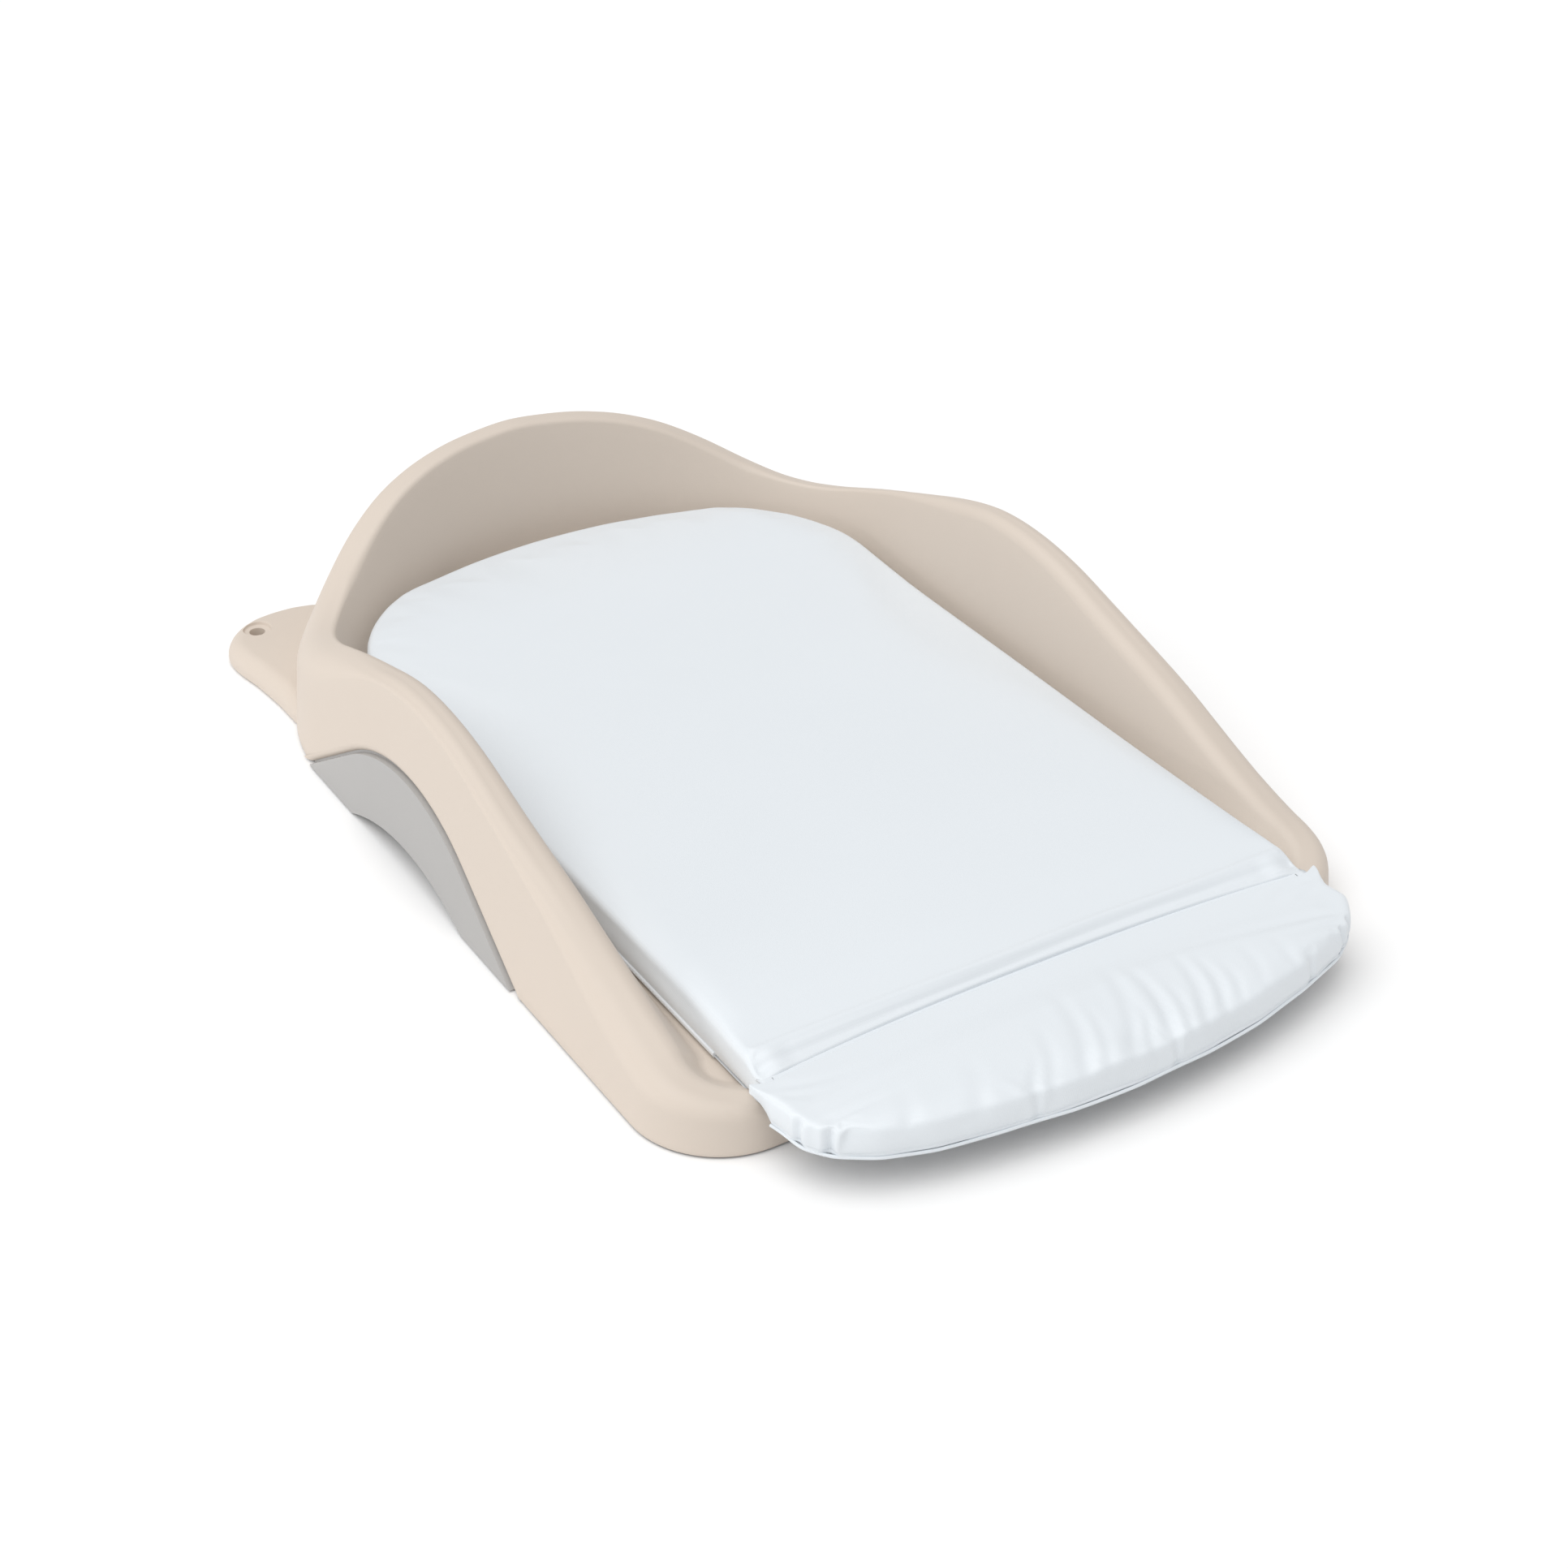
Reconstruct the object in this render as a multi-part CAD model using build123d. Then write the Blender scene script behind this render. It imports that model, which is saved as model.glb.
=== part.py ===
from build123d import *
import math
import os

# Changing pad: a moulded shell with raised wings and a high head wall, two side feet let into
# its skirt, a lift-out padded mattress and a padded flap hinged along the mattress's front seam.
# Millimetres. X runs across, +Y towards the head end, +Z up. The origin is the centre of the
# overall box, on the surface that the pad stands on.

# ---------------------------------------------------------------- driving dimensions
overall_length = 826.0        # flap front edge to the back of the shell
shell_width = 524.0           # across the skirt at its foot
flap_reach = 88.0             # flap front edge to the front of the shell

# Shell
wall = 3.2                    # moulded wall
ground_gap = 1.5              # skirt edge above the table, cleared by the rubber pads
head_depth = 213.0            # depth of the half ellipse that ends the skirt at the head
front_corner = 62.0           # plan radius of the two noses
side_draft = 6.0              # degrees, the skirt leans in going up
head_lean = 0.068             # inward lean of the skirt at the head, per mm of height
deck_height = 30.0            # top of the deck that carries the mattress
wing_at_deck = 53.0           # skirt foot to recess wall, across, at deck level
head_wall_at_deck = 53.0      # skirt foot to recess wall, along, at deck level
recess_flare = 0.185          # outward lean of the recess wall at the wings, per mm of height
head_flare = 0.235            # the same at the head
rim_hump = 132.5              # highest point of each wing
rim_hump_at = 357.0           # from the shell's front
rim_dip = 75.0                # lowest point between wing and head wall
rim_dip_at = 141.0            # from the shell's back
head_height = 133.5           # highest point of the head wall
nose_height = 46.0            # wing height where it rounds down into the nose
nose_length = 43.0            # from the shell's front to that place
nose_toe = 15.3               # height of the rim line at the shell's front
nose_swell = (10.8, 35.0)     # from the shell's front, and height there
wing_foot = (222.0, 70.5)     # ahead of the hump, and height there
wing_rise = (109.0, 106.0)    # the same, nearer the hump
wing_shoulder = (138.0, 118.0)  # ahead of the dip, and height there
wing_fall = (52.0, 89.5)      # the same, nearer the dip
head_shoulder = (112.0, 118.0)  # inside the recess wall, and height of the head wall there
head_fall = (57.0, 92.0)      # the same, nearer the dip
past_dip = (45.0, 80.0)       # beyond the dip, and height there
block_top = 150.0             # anything above the rim, only used to trim

# Ribs and pad columns under the deck
rib_thickness = 2.6
rib_depth = 11.0
ribs_across = 7               # ribs that run from side to side
ribs_each_side = 2            # ribs along the shell, each side of the middle one
rib_pitch = 80.0              # between the ribs along the shell
column_diameter = 30.0

# Fixing ears behind the head corners
ear_radius = 57.0
ear_from_side = 61.0          # ear centre to the skirt's side
ear_from_back = 58.0          # ear centre to the shell's back
ear_height = 18.0
ear_neck_from_side = 14.0     # the neck runs out into the skirt
ear_neck_from_back = 151.0
ear_hole = 11.6               # through hole
ear_counterbore = 20.4
ear_counterbore_depth = 3.0
ear_hole_from_side = 34.0
ear_hole_from_back = 24.5
ear_boss_wall = 2.6

# Side feet
foot_left_y = -109.0          # front end of the arch opening, at its foot
foot_right_y = 213.0          # head end of the arch opening
foot_apex_y = 58.0            # where the arch's two flanks would meet
foot_apex_z = 98.0
foot_crown = 164.0            # radius that rounds the apex
foot_gap = 0.6                # opening around the foot
foot_proud = 1.5              # foot face ahead of the skirt
foot_flange = 3.0
flange_lap = 14.0             # flange beyond the opening, behind the skirt
flange_gap = 0.3
under_arch_front = -36.0      # shallow arch between the foot's two pads
under_arch_back = 136.0
under_arch_rise = 18.0
heel_width = 30.0             # inward block over each sole
heel_height = 16.0
heel_end_gap = 12.0

# Screws that hold the side feet
screw_diameter = 3.4
screw_head = 11.0
screw_head_height = 2.6
screw_length = 5.0
screw_cross = (5.0, 1.1, 1.2)  # length, width and depth of the cross recess
flank_screw_share = 0.75      # how far up the arch's flanks the outer screws sit
boss_diameter = 8.0
boss_gap = 0.3
pilot_gap = 0.05

# Rubber pads
sole_thickness = 3.0
sole_margin = 4.0
pad_diameter = 24.0
pad_thickness = 3.5
front_pad = (34.0, 40.0)      # from the recess wall, from the shell's front
head_pad = (74.0, 128.0)      # from the recess wall, from the shell's back

# Mattress
mattress_side_gap = 3.5       # to the recess wall at deck level
mattress_top = 56.0
mattress_front_gap = 4.0      # front boxing to the shell's front edge
mattress_head_gap = 17.0      # to the recess wall at deck level
mattress_back_radius = 393.0
mattress_corner = 135.0
front_slope_run = 19.0        # crease to front boxing
front_slope_drop = 6.0
cover = 1.0                   # coated cloth
binding = 1.2                 # edge tape around the lower seam
binding_height = 4.0

# Hook and loop patches
patch_length = 50.0
patch_width = 25.0
hook_thickness = 1.5
hook_pocket = 1.2
loop_thickness = 1.0
hook_loop_gap = 0.3
pocket_gap = 0.2
patch_from_wall = 89.0        # patch centre to the recess wall
patch_from_middle = 200.0     # and to the middle, along

# Zip across the head end
zip_half_angle = 14.0
zip_tape = 0.8
zip_tape_height = 10.0
zip_z = 45.0
coil_height = 3.0
coil_thickness = 1.5
coil_end = 0.6                # degrees of tape beyond each stop
stop_angle = 0.5
slider_angle = 1.3
slider_height = 8.0
slider_skin = 1.6
slider_gap = 0.3
slider_parked = -12.0         # degrees from the middle, zip closed

# Flap
hinge_back = 1.0              # hinge line behind the shell's front edge
hinge_height = 49.5
flap_droop = 3.0              # degrees below level, as it lies
flap_gap = 1.2                # hinge line to flap
flap_thickness = 20.0
flap_overhang = 3.5           # flap beyond the mattress on each side
flap_front_bow = 26.0         # how far the front edge bows out
flap_corner = 30.0
flap_heel = 11.0              # undercut at the flap's back edge
web_thickness = 1.2

# Care label under the mattress
label_width = 32.0
label_length = 46.0
label_thickness = 0.4
label_x = 60.0
label_y = 250.0

# ---------------------------------------------------------------- places worked out from them
shell_back = overall_length / 2
flap_front = -overall_length / 2
shell_front = flap_front + flap_reach
shell_half = shell_width / 2
head_start = shell_back - head_depth
dip_y = shell_back - rim_dip_at
lean = math.tan(math.radians(side_draft))

recess_half = shell_half - wing_at_deck
recess_depth = head_depth - head_wall_at_deck

loop_bottom = deck_height - hook_pocket + hook_thickness + hook_loop_gap
mattress_bottom = loop_bottom + loop_thickness
mattress_half = recess_half - mattress_side_gap
mattress_front = shell_front + mattress_front_gap
mattress_back = head_start + recess_depth - mattress_head_gap
back_centre_y = mattress_back - mattress_back_radius
seam_z = mattress_bottom + cover

ear_x = shell_half - ear_from_side
ear_y = shell_back - ear_from_back
ear_hole_x = shell_half - ear_hole_from_side
ear_hole_y = shell_back - ear_hole_from_back
patch_x = recess_half - patch_from_wall

hinge_y = shell_front + hinge_back
flap_length = (hinge_y - flap_front) / math.cos(math.radians(flap_droop))


# ---------------------------------------------------------------- helpers
def straight_sided_plan(half, front, curve_start, depth, corner):
    """Plan outline: straight front and sides, half ellipse at the head, rounded front corners."""
    head = EllipticalCenterArc((0, curve_start), half, depth, 0, arc_size=180)
    if corner > 0:
        front_line = Line((-half + corner, front), (half - corner, front))
        corners = [
            CenterArc((half - corner, front + corner), corner, -90, 90),
            CenterArc((-half + corner, front + corner), corner, 180, 90),
        ]
    else:
        front_line = Line((-half, front), (half, front))
        corners = []
    sides = [
        Line((half, front + corner), (half, curve_start)),
        Line((-half, curve_start), (-half, front + corner)),
    ]
    return make_face(Curve() + [front_line, head] + corners + sides)


def skirt_section(z, inset):
    """Plan of the outer skirt at height z, moved in by inset."""
    above = z - ground_gap
    shrink = above * lean + inset
    back_shrink = above * head_lean + inset
    face = straight_sided_plan(
        shell_half - shrink,
        shell_front + shrink,
        head_start,
        head_depth - back_shrink,
        front_corner - inset,
    )
    return Pos(0, 0, z) * face


def skirt_block(inset, bottom=-10.0):
    """Solid inside the leaning skirt, moved in by inset."""
    return loft([skirt_section(bottom, inset), skirt_section(block_top, inset)], ruled=True)


def recess_section(z, outset):
    """Plan of the recess at height z, moved out by outset. It runs out through the front."""
    above = z - deck_height
    face = straight_sided_plan(
        recess_half + above * recess_flare + outset,
        shell_front - front_corner,
        head_start,
        recess_depth + above * head_flare + outset,
        0,
    )
    return Pos(0, 0, z) * face


def recess_block(outset):
    """Space above the deck between the wings, moved out and down by outset."""
    floor = deck_height - outset
    top = block_top + 2 * wall
    return loft([recess_section(floor, outset), recess_section(top, outset)], ruled=True)


def trim_below(line, start, end):
    """Face below a rim line that runs from start to end."""
    return make_face(
        Curve()
        + [
            line,
            Line(end, (end[0], -block_top)),
            Line((end[0], -block_top), (start[0], -block_top)),
            Line((start[0], -block_top), start),
        ]
    )


def under_rim(drop):
    """Everything below the rim line, lowered by drop: wings seen from the side, head from behind."""
    hump_y = shell_front + rim_hump_at
    side_points = [
        (shell_front, nose_toe),
        (shell_front + nose_swell[0], nose_swell[1]),
        (shell_front + nose_length, nose_height),
        (hump_y - wing_foot[0], wing_foot[1]),
        (hump_y - wing_rise[0], wing_rise[1]),
        (hump_y, rim_hump),
        (dip_y - wing_shoulder[0], wing_shoulder[1]),
        (dip_y - wing_fall[0], wing_fall[1]),
        (dip_y, rim_dip),
        (dip_y + past_dip[0], past_dip[1]),
    ]
    side_points = [(y, z - drop) for y, z in side_points]
    wing_face = trim_below(Spline(side_points), side_points[0], side_points[-1])
    reach = shell_half + front_corner
    wings = extrude(Plane.YZ * wing_face, reach, both=True)
    wings &= Pos(0, dip_y - overall_length, 0) * Box(3 * reach, 2 * overall_length, 4 * block_top)

    right_points = [
        (recess_half - head_shoulder[0], head_shoulder[1]),
        (recess_half - head_fall[0], head_fall[1]),
        (recess_half - wall, rim_dip),
        (reach, rim_dip),
    ]
    left_points = [(-x, z) for x, z in reversed(right_points)]
    head_points = left_points + [(0, head_height)] + right_points
    head_points = [(x, z - drop) for x, z in head_points]
    head_face = trim_below(Spline(head_points), head_points[0], head_points[-1])
    head_length = shell_back - dip_y + front_corner
    head = Pos(0, dip_y, 0) * extrude(Plane.XZ * head_face, -head_length)
    return wings + head


def on_both_sides(right_part):
    """A part of the right-hand side with its mirror image."""
    return [right_part, mirror(right_part, about=Plane.YZ)]


def skirt_frame(y, z):
    """Frame on the right-hand skirt face, its Z axis pointing square into the shell."""
    angle = math.radians(side_draft)
    return Plane(
        origin=(shell_half - (z - ground_gap) * lean, y, z),
        x_dir=(0, 1, 0),
        z_dir=(-math.cos(angle), 0, -math.sin(angle)),
    )


def arch_face(outset):
    """Bell-shaped side opening in the YZ plane, moved out by outset."""
    flanks = Polyline(
        (foot_left_y, 0),
        (foot_apex_y, foot_apex_z),
        (foot_right_y, 0),
        close=True,
    )
    face = make_face(flanks)
    face = fillet(face.vertices().sort_by(Axis.Y)[-1], foot_crown)
    if outset:
        face = offset(face, outset, kind=Kind.INTERSECTION)
    return face


def arch_prism(outset):
    """The arch opening run through the right-hand skirt."""
    return extrude(Plane.YZ * arch_face(outset), shell_half + front_corner)


def screw_places():
    """(y, z) of the screws around one arch, in the middle of the flange's lap."""
    line = arch_face(flange_lap / 2).edges().sort_by(Axis.Y)
    crown = line.filter_by(GeomType.CIRCLE)[0]
    flanks = [e for e in line.filter_by(GeomType.LINE) if abs(e.tangent_at(0.5).Y) > 0.1]
    ends = [(flank @ flank_screw_share, flank @ (1 - flank_screw_share)) for flank in flanks]
    points = [crown @ 0.5] + [max(pair, key=lambda point: point.Y) for pair in ends]
    return [(point.X, point.Y) for point in points]


def mattress_plan(inset):
    """Mattress outline moved in by inset: straight sides, bowed back, rounded head corners."""
    half = mattress_half - inset
    radius = mattress_back_radius - inset
    corner_y = back_centre_y + math.sqrt(radius**2 - half**2)
    face = make_face(
        Curve()
        + [
            Line((-half, mattress_front + inset), (half, mattress_front + inset)),
            Line((half, mattress_front + inset), (half, corner_y)),
            ThreePointArc((half, corner_y), (0, mattress_back - inset), (-half, corner_y)),
            Line((-half, corner_y), (-half, mattress_front + inset)),
        ]
    )
    return fillet(face.vertices().sort_by(Axis.Y)[-2:], mattress_corner - inset)


def slab(face, bottom, top):
    """Straight prism of a plan face between two heights."""
    return extrude(Pos(0, 0, bottom) * face, top - bottom)


def front_wedge(inset):
    """What is cut away over the mattress's sloping front edge."""
    crease_y = mattress_front + front_slope_run
    top = mattress_top - inset
    face = make_face(
        Polyline(
            (crease_y, top),
            (mattress_front - 2, top - front_slope_drop * (1 + 2 / front_slope_run)),
            (mattress_front - 2, top + 10),
            (crease_y, top + 10),
            close=True,
        )
    )
    return extrude(Plane.YZ * face, shell_half, both=True)


def arc_band(radius, thickness, z_low, z_high, angle_from, angle_to):
    """Band that follows the mattress's bowed back; angles in degrees from the middle."""
    outer = radius + thickness
    start = 90 - angle_to
    sweep_angle = angle_to - angle_from
    centre = (0, back_centre_y)
    inner_arc = CenterArc(centre, radius, start, sweep_angle)
    outer_arc = CenterArc(centre, outer, start, sweep_angle)
    face = make_face(
        Curve()
        + [
            inner_arc,
            outer_arc,
            Line(inner_arc @ 0, outer_arc @ 0),
            Line(inner_arc @ 1, outer_arc @ 1),
        ]
    )
    return slab(face, z_low, z_high)


def flap_plan(inset):
    """Flap outline before it droops: straight back and sides, bowed front, rounded corners."""
    half = mattress_half + flap_overhang - inset
    back = hinge_y - flap_gap - inset
    front = hinge_y - flap_length + inset
    corner_y = front + flap_front_bow
    face = make_face(
        Curve()
        + [
            Line((half, back), (-half, back)),
            Line((-half, back), (-half, corner_y)),
            ThreePointArc((-half, corner_y), (0, front), (half, corner_y)),
            Line((half, corner_y), (half, back)),
        ]
    )
    return fillet(face.vertices().sort_by(Axis.Y)[:2], flap_corner - inset)


def flap_heel_cut(inset):
    """Undercut that lets the flap's back edge swing clear of the mattress."""
    back = hinge_y - flap_gap - inset
    low = hinge_height - flap_thickness + inset
    face = make_face(
        Polyline(
            (back + 1, hinge_height - cover - 1 - inset),
            (back + 1, low - 5),
            (back - flap_heel, low - 5),
            (back - flap_heel, low),
            (back, hinge_height - cover - 1 - inset),
            close=True,
        )
    )
    return extrude(Plane.YZ * face, shell_half, both=True)


def drooped(part):
    """The flap as it lies: turned a little down about its hinge line."""
    hinge = Axis((0, hinge_y, hinge_height), (1, 0, 0))
    return part.rotate(hinge, flap_droop)


def save(part, name):
    solids = part.solids() if not isinstance(part, (list, tuple)) else list(part)
    shape = solids[0] if len(solids) == 1 else Compound(children=list(solids))
    shape.label = name
    export_step(shape, f"parts/{name}.step")


# ---------------------------------------------------------------- shell
def deck_columns():
    """Columns from the deck down to the rubber pads."""
    front_y = shell_front + front_pad[1]
    head_y = shell_back - head_pad[1]
    places = [(recess_half - front_pad[0], front_y), (recess_half - head_pad[0], head_y)]
    return [(side * x, y) for x, y in places for side in (1, -1)]


def deck_ribs():
    """Grid of ribs under the deck, inside the recess's footprint."""
    top = deck_height - wall / 2
    bottom = deck_height - wall - rib_depth
    front = shell_front + wall / 2
    length = head_start + recess_depth - front
    middle_z = (top + bottom) / 2
    ribs = []
    for i in range(1, ribs_across + 1):
        y = front + length * i / (ribs_across + 1)
        ribs.append(Pos(0, y, middle_z) * Box(2 * recess_half, rib_thickness, top - bottom))
    for i in range(-ribs_each_side, ribs_each_side + 1):
        middle = Pos(i * rib_pitch, front + length / 2, middle_z)
        ribs.append(middle * Box(rib_thickness, length, top - bottom))
    footprint = straight_sided_plan(recess_half, front, head_start, recess_depth, 0)
    return slab(footprint, bottom, top) & (Part() + ribs)


def ear_outline(inset):
    """Plan of the right-hand ear with the neck that runs out into the skirt."""
    disc = Pos(ear_x, ear_y) * Circle(ear_radius - inset)
    neck_y = shell_back - ear_neck_from_back + inset
    neck = Rectangle(ear_radius, ear_y - neck_y, align=(Align.MAX, Align.MIN))
    return disc + Pos(shell_half - ear_neck_from_side - inset, neck_y) * neck


def make_shell():
    outside = skirt_block(0, ground_gap) & under_rim(0)
    ear = slab(ear_outline(0), ground_gap, ear_height)
    body = outside + on_both_sides(ear)
    body -= recess_block(0)

    hollow = skirt_block(wall) & under_rim(wall)
    hollow -= recess_block(wall)
    columns = [
        Pos(x, y, 0) * Cylinder(column_diameter / 2, 2 * deck_height) for x, y in deck_columns()
    ]
    hollow -= columns
    hollow -= deck_ribs()
    body -= hollow

    ear_space = slab(ear_outline(wall), -5, ear_height - wall) - skirt_block(0)
    boss_radius = ear_counterbore / 2 + ear_boss_wall
    ear_space -= Pos(ear_hole_x, ear_hole_y, 0) * Cylinder(boss_radius, 4 * ear_height)
    body -= on_both_sides(ear_space)
    through = Pos(ear_hole_x, ear_hole_y, 0) * Cylinder(ear_hole / 2, 4 * ear_height)
    seat_low = ear_height - ear_counterbore_depth
    seat = Pos(ear_hole_x, ear_hole_y, seat_low + 10) * Cylinder(ear_counterbore / 2, 20)
    body -= on_both_sides(through + seat)

    bosses = []
    pilots = []
    stand = wall + flange_gap + foot_flange
    boss = Cylinder(boss_diameter / 2, stand - wall / 2)
    for y, z in screw_places():
        frame = skirt_frame(y, z)
        bosses.append(frame * Pos(0, 0, (stand + wall / 2) / 2) * boss)
        pilots.append(
            frame
            * Pos(0, 0, stand - screw_length / 2)
            * Cylinder(screw_diameter / 2 + pilot_gap, screw_length + 0.2)
        )
    body -= on_both_sides(arch_prism(foot_gap) - skirt_block(wall + flange_gap))
    body += on_both_sides(Part() + bosses)
    body -= on_both_sides(Part() + pilots)

    for x, y in deck_columns():
        body -= Pos(x, y, 0) * Cylinder(column_diameter / 2 + 1, 2 * ground_gap)
        body -= Pos(x, y, 0) * Cylinder(pad_diameter / 2, 2 * pad_thickness)
    for x in (patch_x, -patch_x):
        for y in (patch_from_middle, -patch_from_middle):
            size = (patch_width + 2 * pocket_gap, patch_length + 2 * pocket_gap, 2 * hook_pocket)
            body -= Pos(x, y, deck_height) * Box(*size)
    return body


# ---------------------------------------------------------------- side feet
def heel_spans():
    """(front, back) of the two blocks that stand on the table, along Y."""
    return [
        (foot_left_y + heel_end_gap, under_arch_front - sole_margin),
        (under_arch_back + sole_margin, foot_right_y - heel_end_gap),
    ]


def heel_x():
    """(inner, outer) of the heel blocks across the shell."""
    outer = shell_half - wall - flange_gap - foot_flange / 2
    return outer - heel_width, outer


def make_side_foot():
    inner_face = wall + flange_gap + foot_flange
    plug = arch_prism(0) & (skirt_block(-foot_proud) - skirt_block(inner_face))
    flange_body = skirt_block(wall + flange_gap) - skirt_block(inner_face)
    flange = arch_prism(flange_lap) & flange_body
    foot = plug + flange
    inner, outer = heel_x()
    low_corner = (Align.MIN, Align.MIN, Align.MIN)
    for front, back in heel_spans():
        block = Box(outer - inner, back - front, heel_height, align=low_corner)
        block = Pos(inner, front, 0) * block
        foot += block & skirt_block(wall + flange_gap)
    arch = make_face(
        Curve()
        + [
            ThreePointArc(
                (under_arch_front, ground_gap),
                ((under_arch_front + under_arch_back) / 2, under_arch_rise + ground_gap),
                (under_arch_back, ground_gap),
            ),
            Line((under_arch_back, ground_gap), (under_arch_back, -20)),
            Line((under_arch_back, -20), (under_arch_front, -20)),
            Line((under_arch_front, -20), (under_arch_front, ground_gap)),
        ]
    )
    foot -= extrude(Plane.YZ * arch, shell_half + 50)
    below = Box(4 * shell_half, 4 * shell_half, 40, align=(Align.CENTER, Align.CENTER, Align.MAX))
    foot -= Pos(0, 0, ground_gap) * below
    boss_hole = Cylinder(boss_diameter / 2 + boss_gap, 4 * foot_flange)
    for y, z in screw_places():
        foot -= skirt_frame(y, z) * Pos(0, 0, inner_face) * boss_hole
    for sole in make_soles():
        foot -= sole
    return foot


def make_soles():
    inner, outer = heel_x()
    soles = []
    for front, back in heel_spans():
        width = outer - inner - 2 * sole_margin
        length = back - front - 2 * sole_margin
        sole = Box(width, length, sole_thickness, align=(Align.CENTER, Align.CENTER, Align.MIN))
        sole = fillet(sole.edges().filter_by(Axis.Z), sole_margin)
        soles.append(Pos((inner + outer) / 2, (front + back) / 2, 0) * sole)
    return soles


def make_screws():
    seat = wall + flange_gap + foot_flange
    length, width, depth = screw_cross
    screws = []
    for y, z in screw_places():
        shank = Pos(0, 0, seat - screw_length / 2) * Cylinder(screw_diameter / 2, screw_length)
        head = Pos(0, 0, seat + screw_head_height / 2) * Cylinder(screw_head / 2, screw_head_height)
        cross = Box(length, width, 2 * depth) + Box(width, length, 2 * depth)
        cross = Pos(0, 0, seat + screw_head_height) * cross
        screws.append(skirt_frame(y, z) * (shank + head - cross))
    return screws


# ---------------------------------------------------------------- mattress
def make_mattress():
    shell_of_cloth = slab(mattress_plan(0), seam_z, mattress_top) - front_wedge(0)
    filling = slab(mattress_plan(cover), seam_z, mattress_top - cover) - front_wedge(cover)
    save(shell_of_cloth - filling, "mattress_cover_top")
    save(filling, "mattress_core")
    save(slab(mattress_plan(0), mattress_bottom, seam_z), "mattress_cover_base")
    tape = slab(mattress_plan(-binding), mattress_bottom, mattress_bottom + binding_height)
    tape -= slab(mattress_plan(0), mattress_bottom, mattress_bottom + binding_height)
    front_trim = Box(4 * shell_half, 2 * binding, 4 * binding_height)
    tape -= Pos(0, mattress_front, mattress_bottom) * front_trim
    save(tape, "mattress_edge_binding")


def make_patches():
    hooks = []
    loops = []
    standing = (Align.CENTER, Align.CENTER, Align.MIN)
    hook = Box(patch_width, patch_length, hook_thickness, align=standing)
    loop = Box(patch_width, patch_length, loop_thickness, align=standing)
    for x in (patch_x, -patch_x):
        for y in (patch_from_middle, -patch_from_middle):
            hooks.append(Pos(x, y, deck_height - hook_pocket) * hook)
            loops.append(Pos(x, y, loop_bottom) * loop)
    save(hooks, "deck_hook_patches")
    save(loops, "mattress_loop_patches")


def make_zip():
    face_radius = mattress_back_radius
    coil_radius = face_radius + zip_tape
    half_tape = zip_tape_height / 2
    half_coil = coil_height / 2
    coil_angle = zip_half_angle - coil_end - stop_angle
    tape = arc_band(
        face_radius, zip_tape, zip_z - half_tape, zip_z + half_tape, -zip_half_angle, zip_half_angle
    )
    coil = arc_band(
        coil_radius, coil_thickness, zip_z - half_coil, zip_z + half_coil, -coil_angle, coil_angle
    )
    stops = [
        arc_band(
            coil_radius,
            coil_thickness + slider_gap,
            zip_z - half_coil - slider_gap,
            zip_z + half_coil + slider_gap,
            low,
            low + stop_angle,
        )
        for low in (coil_angle, -coil_angle - stop_angle)
    ]
    outside = coil_thickness + slider_gap + slider_skin
    low = slider_parked - slider_angle / 2
    high = slider_parked + slider_angle / 2
    slider = arc_band(
        coil_radius + slider_gap,
        outside - slider_gap,
        zip_z - slider_height / 2,
        zip_z + slider_height / 2,
        low,
        high,
    )
    slider -= arc_band(
        coil_radius,
        coil_thickness + slider_gap,
        zip_z - half_coil - slider_gap,
        zip_z + half_coil + slider_gap,
        low - 1,
        high + 1,
    )
    save(tape, "zip_tape")
    save(coil, "zip_coil")
    save(stops, "zip_end_stops")
    save(slider, "zip_slider")


def make_label():
    hanging = (Align.CENTER, Align.CENTER, Align.MAX)
    label = Box(label_width, label_length, label_thickness, align=hanging)
    save(Pos(label_x, label_y, mattress_bottom) * label, "care_label")


# ---------------------------------------------------------------- flap
def make_flap():
    top = hinge_height
    bottom = hinge_height - flap_thickness
    seam = bottom + cover
    whole = slab(flap_plan(0), seam, top) - flap_heel_cut(0)
    filling = slab(flap_plan(cover), seam, top - cover) - flap_heel_cut(cover)
    base = slab(flap_plan(0), bottom, seam) - flap_heel_cut(0)
    tape = slab(flap_plan(-binding), bottom, bottom + binding_height)
    tape -= slab(flap_plan(0), bottom, bottom + binding_height)
    back_trim = Box(4 * shell_half, 2 * flap_heel, 4 * binding_height)
    tape -= Pos(0, hinge_y - flap_gap, bottom) * back_trim
    save(drooped(whole - filling), "flap_cover_top")
    save(drooped(filling), "flap_core")
    save(drooped(base), "flap_cover_base")
    save(drooped(tape), "flap_edge_binding")

    web_length = mattress_front - hinge_y
    web = Box(2 * mattress_half, web_length, web_thickness, align=(Align.CENTER, Align.MIN, Align.MAX))
    save(Pos(0, hinge_y, hinge_height) * web, "flap_hinge_web")


# ---------------------------------------------------------------- build
os.makedirs("parts", exist_ok=True)

save(make_shell(), "base_shell")
side_foot = make_side_foot()
save(side_foot, "right_side_foot")
save(mirror(side_foot, about=Plane.YZ), "left_side_foot")
save([s for screw in make_screws() for s in on_both_sides(screw)], "side_foot_screws")
save([s for sole in make_soles() for s in on_both_sides(sole)], "side_foot_soles")
rubber = Cylinder(pad_diameter / 2, pad_thickness, align=(Align.CENTER, Align.CENTER, Align.MIN))
save([Pos(x, y, 0) * rubber for x, y in deck_columns()], "deck_rubber_pads")
make_mattress()
make_patches()
make_zip()
make_label()
make_flap()
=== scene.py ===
import math

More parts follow.
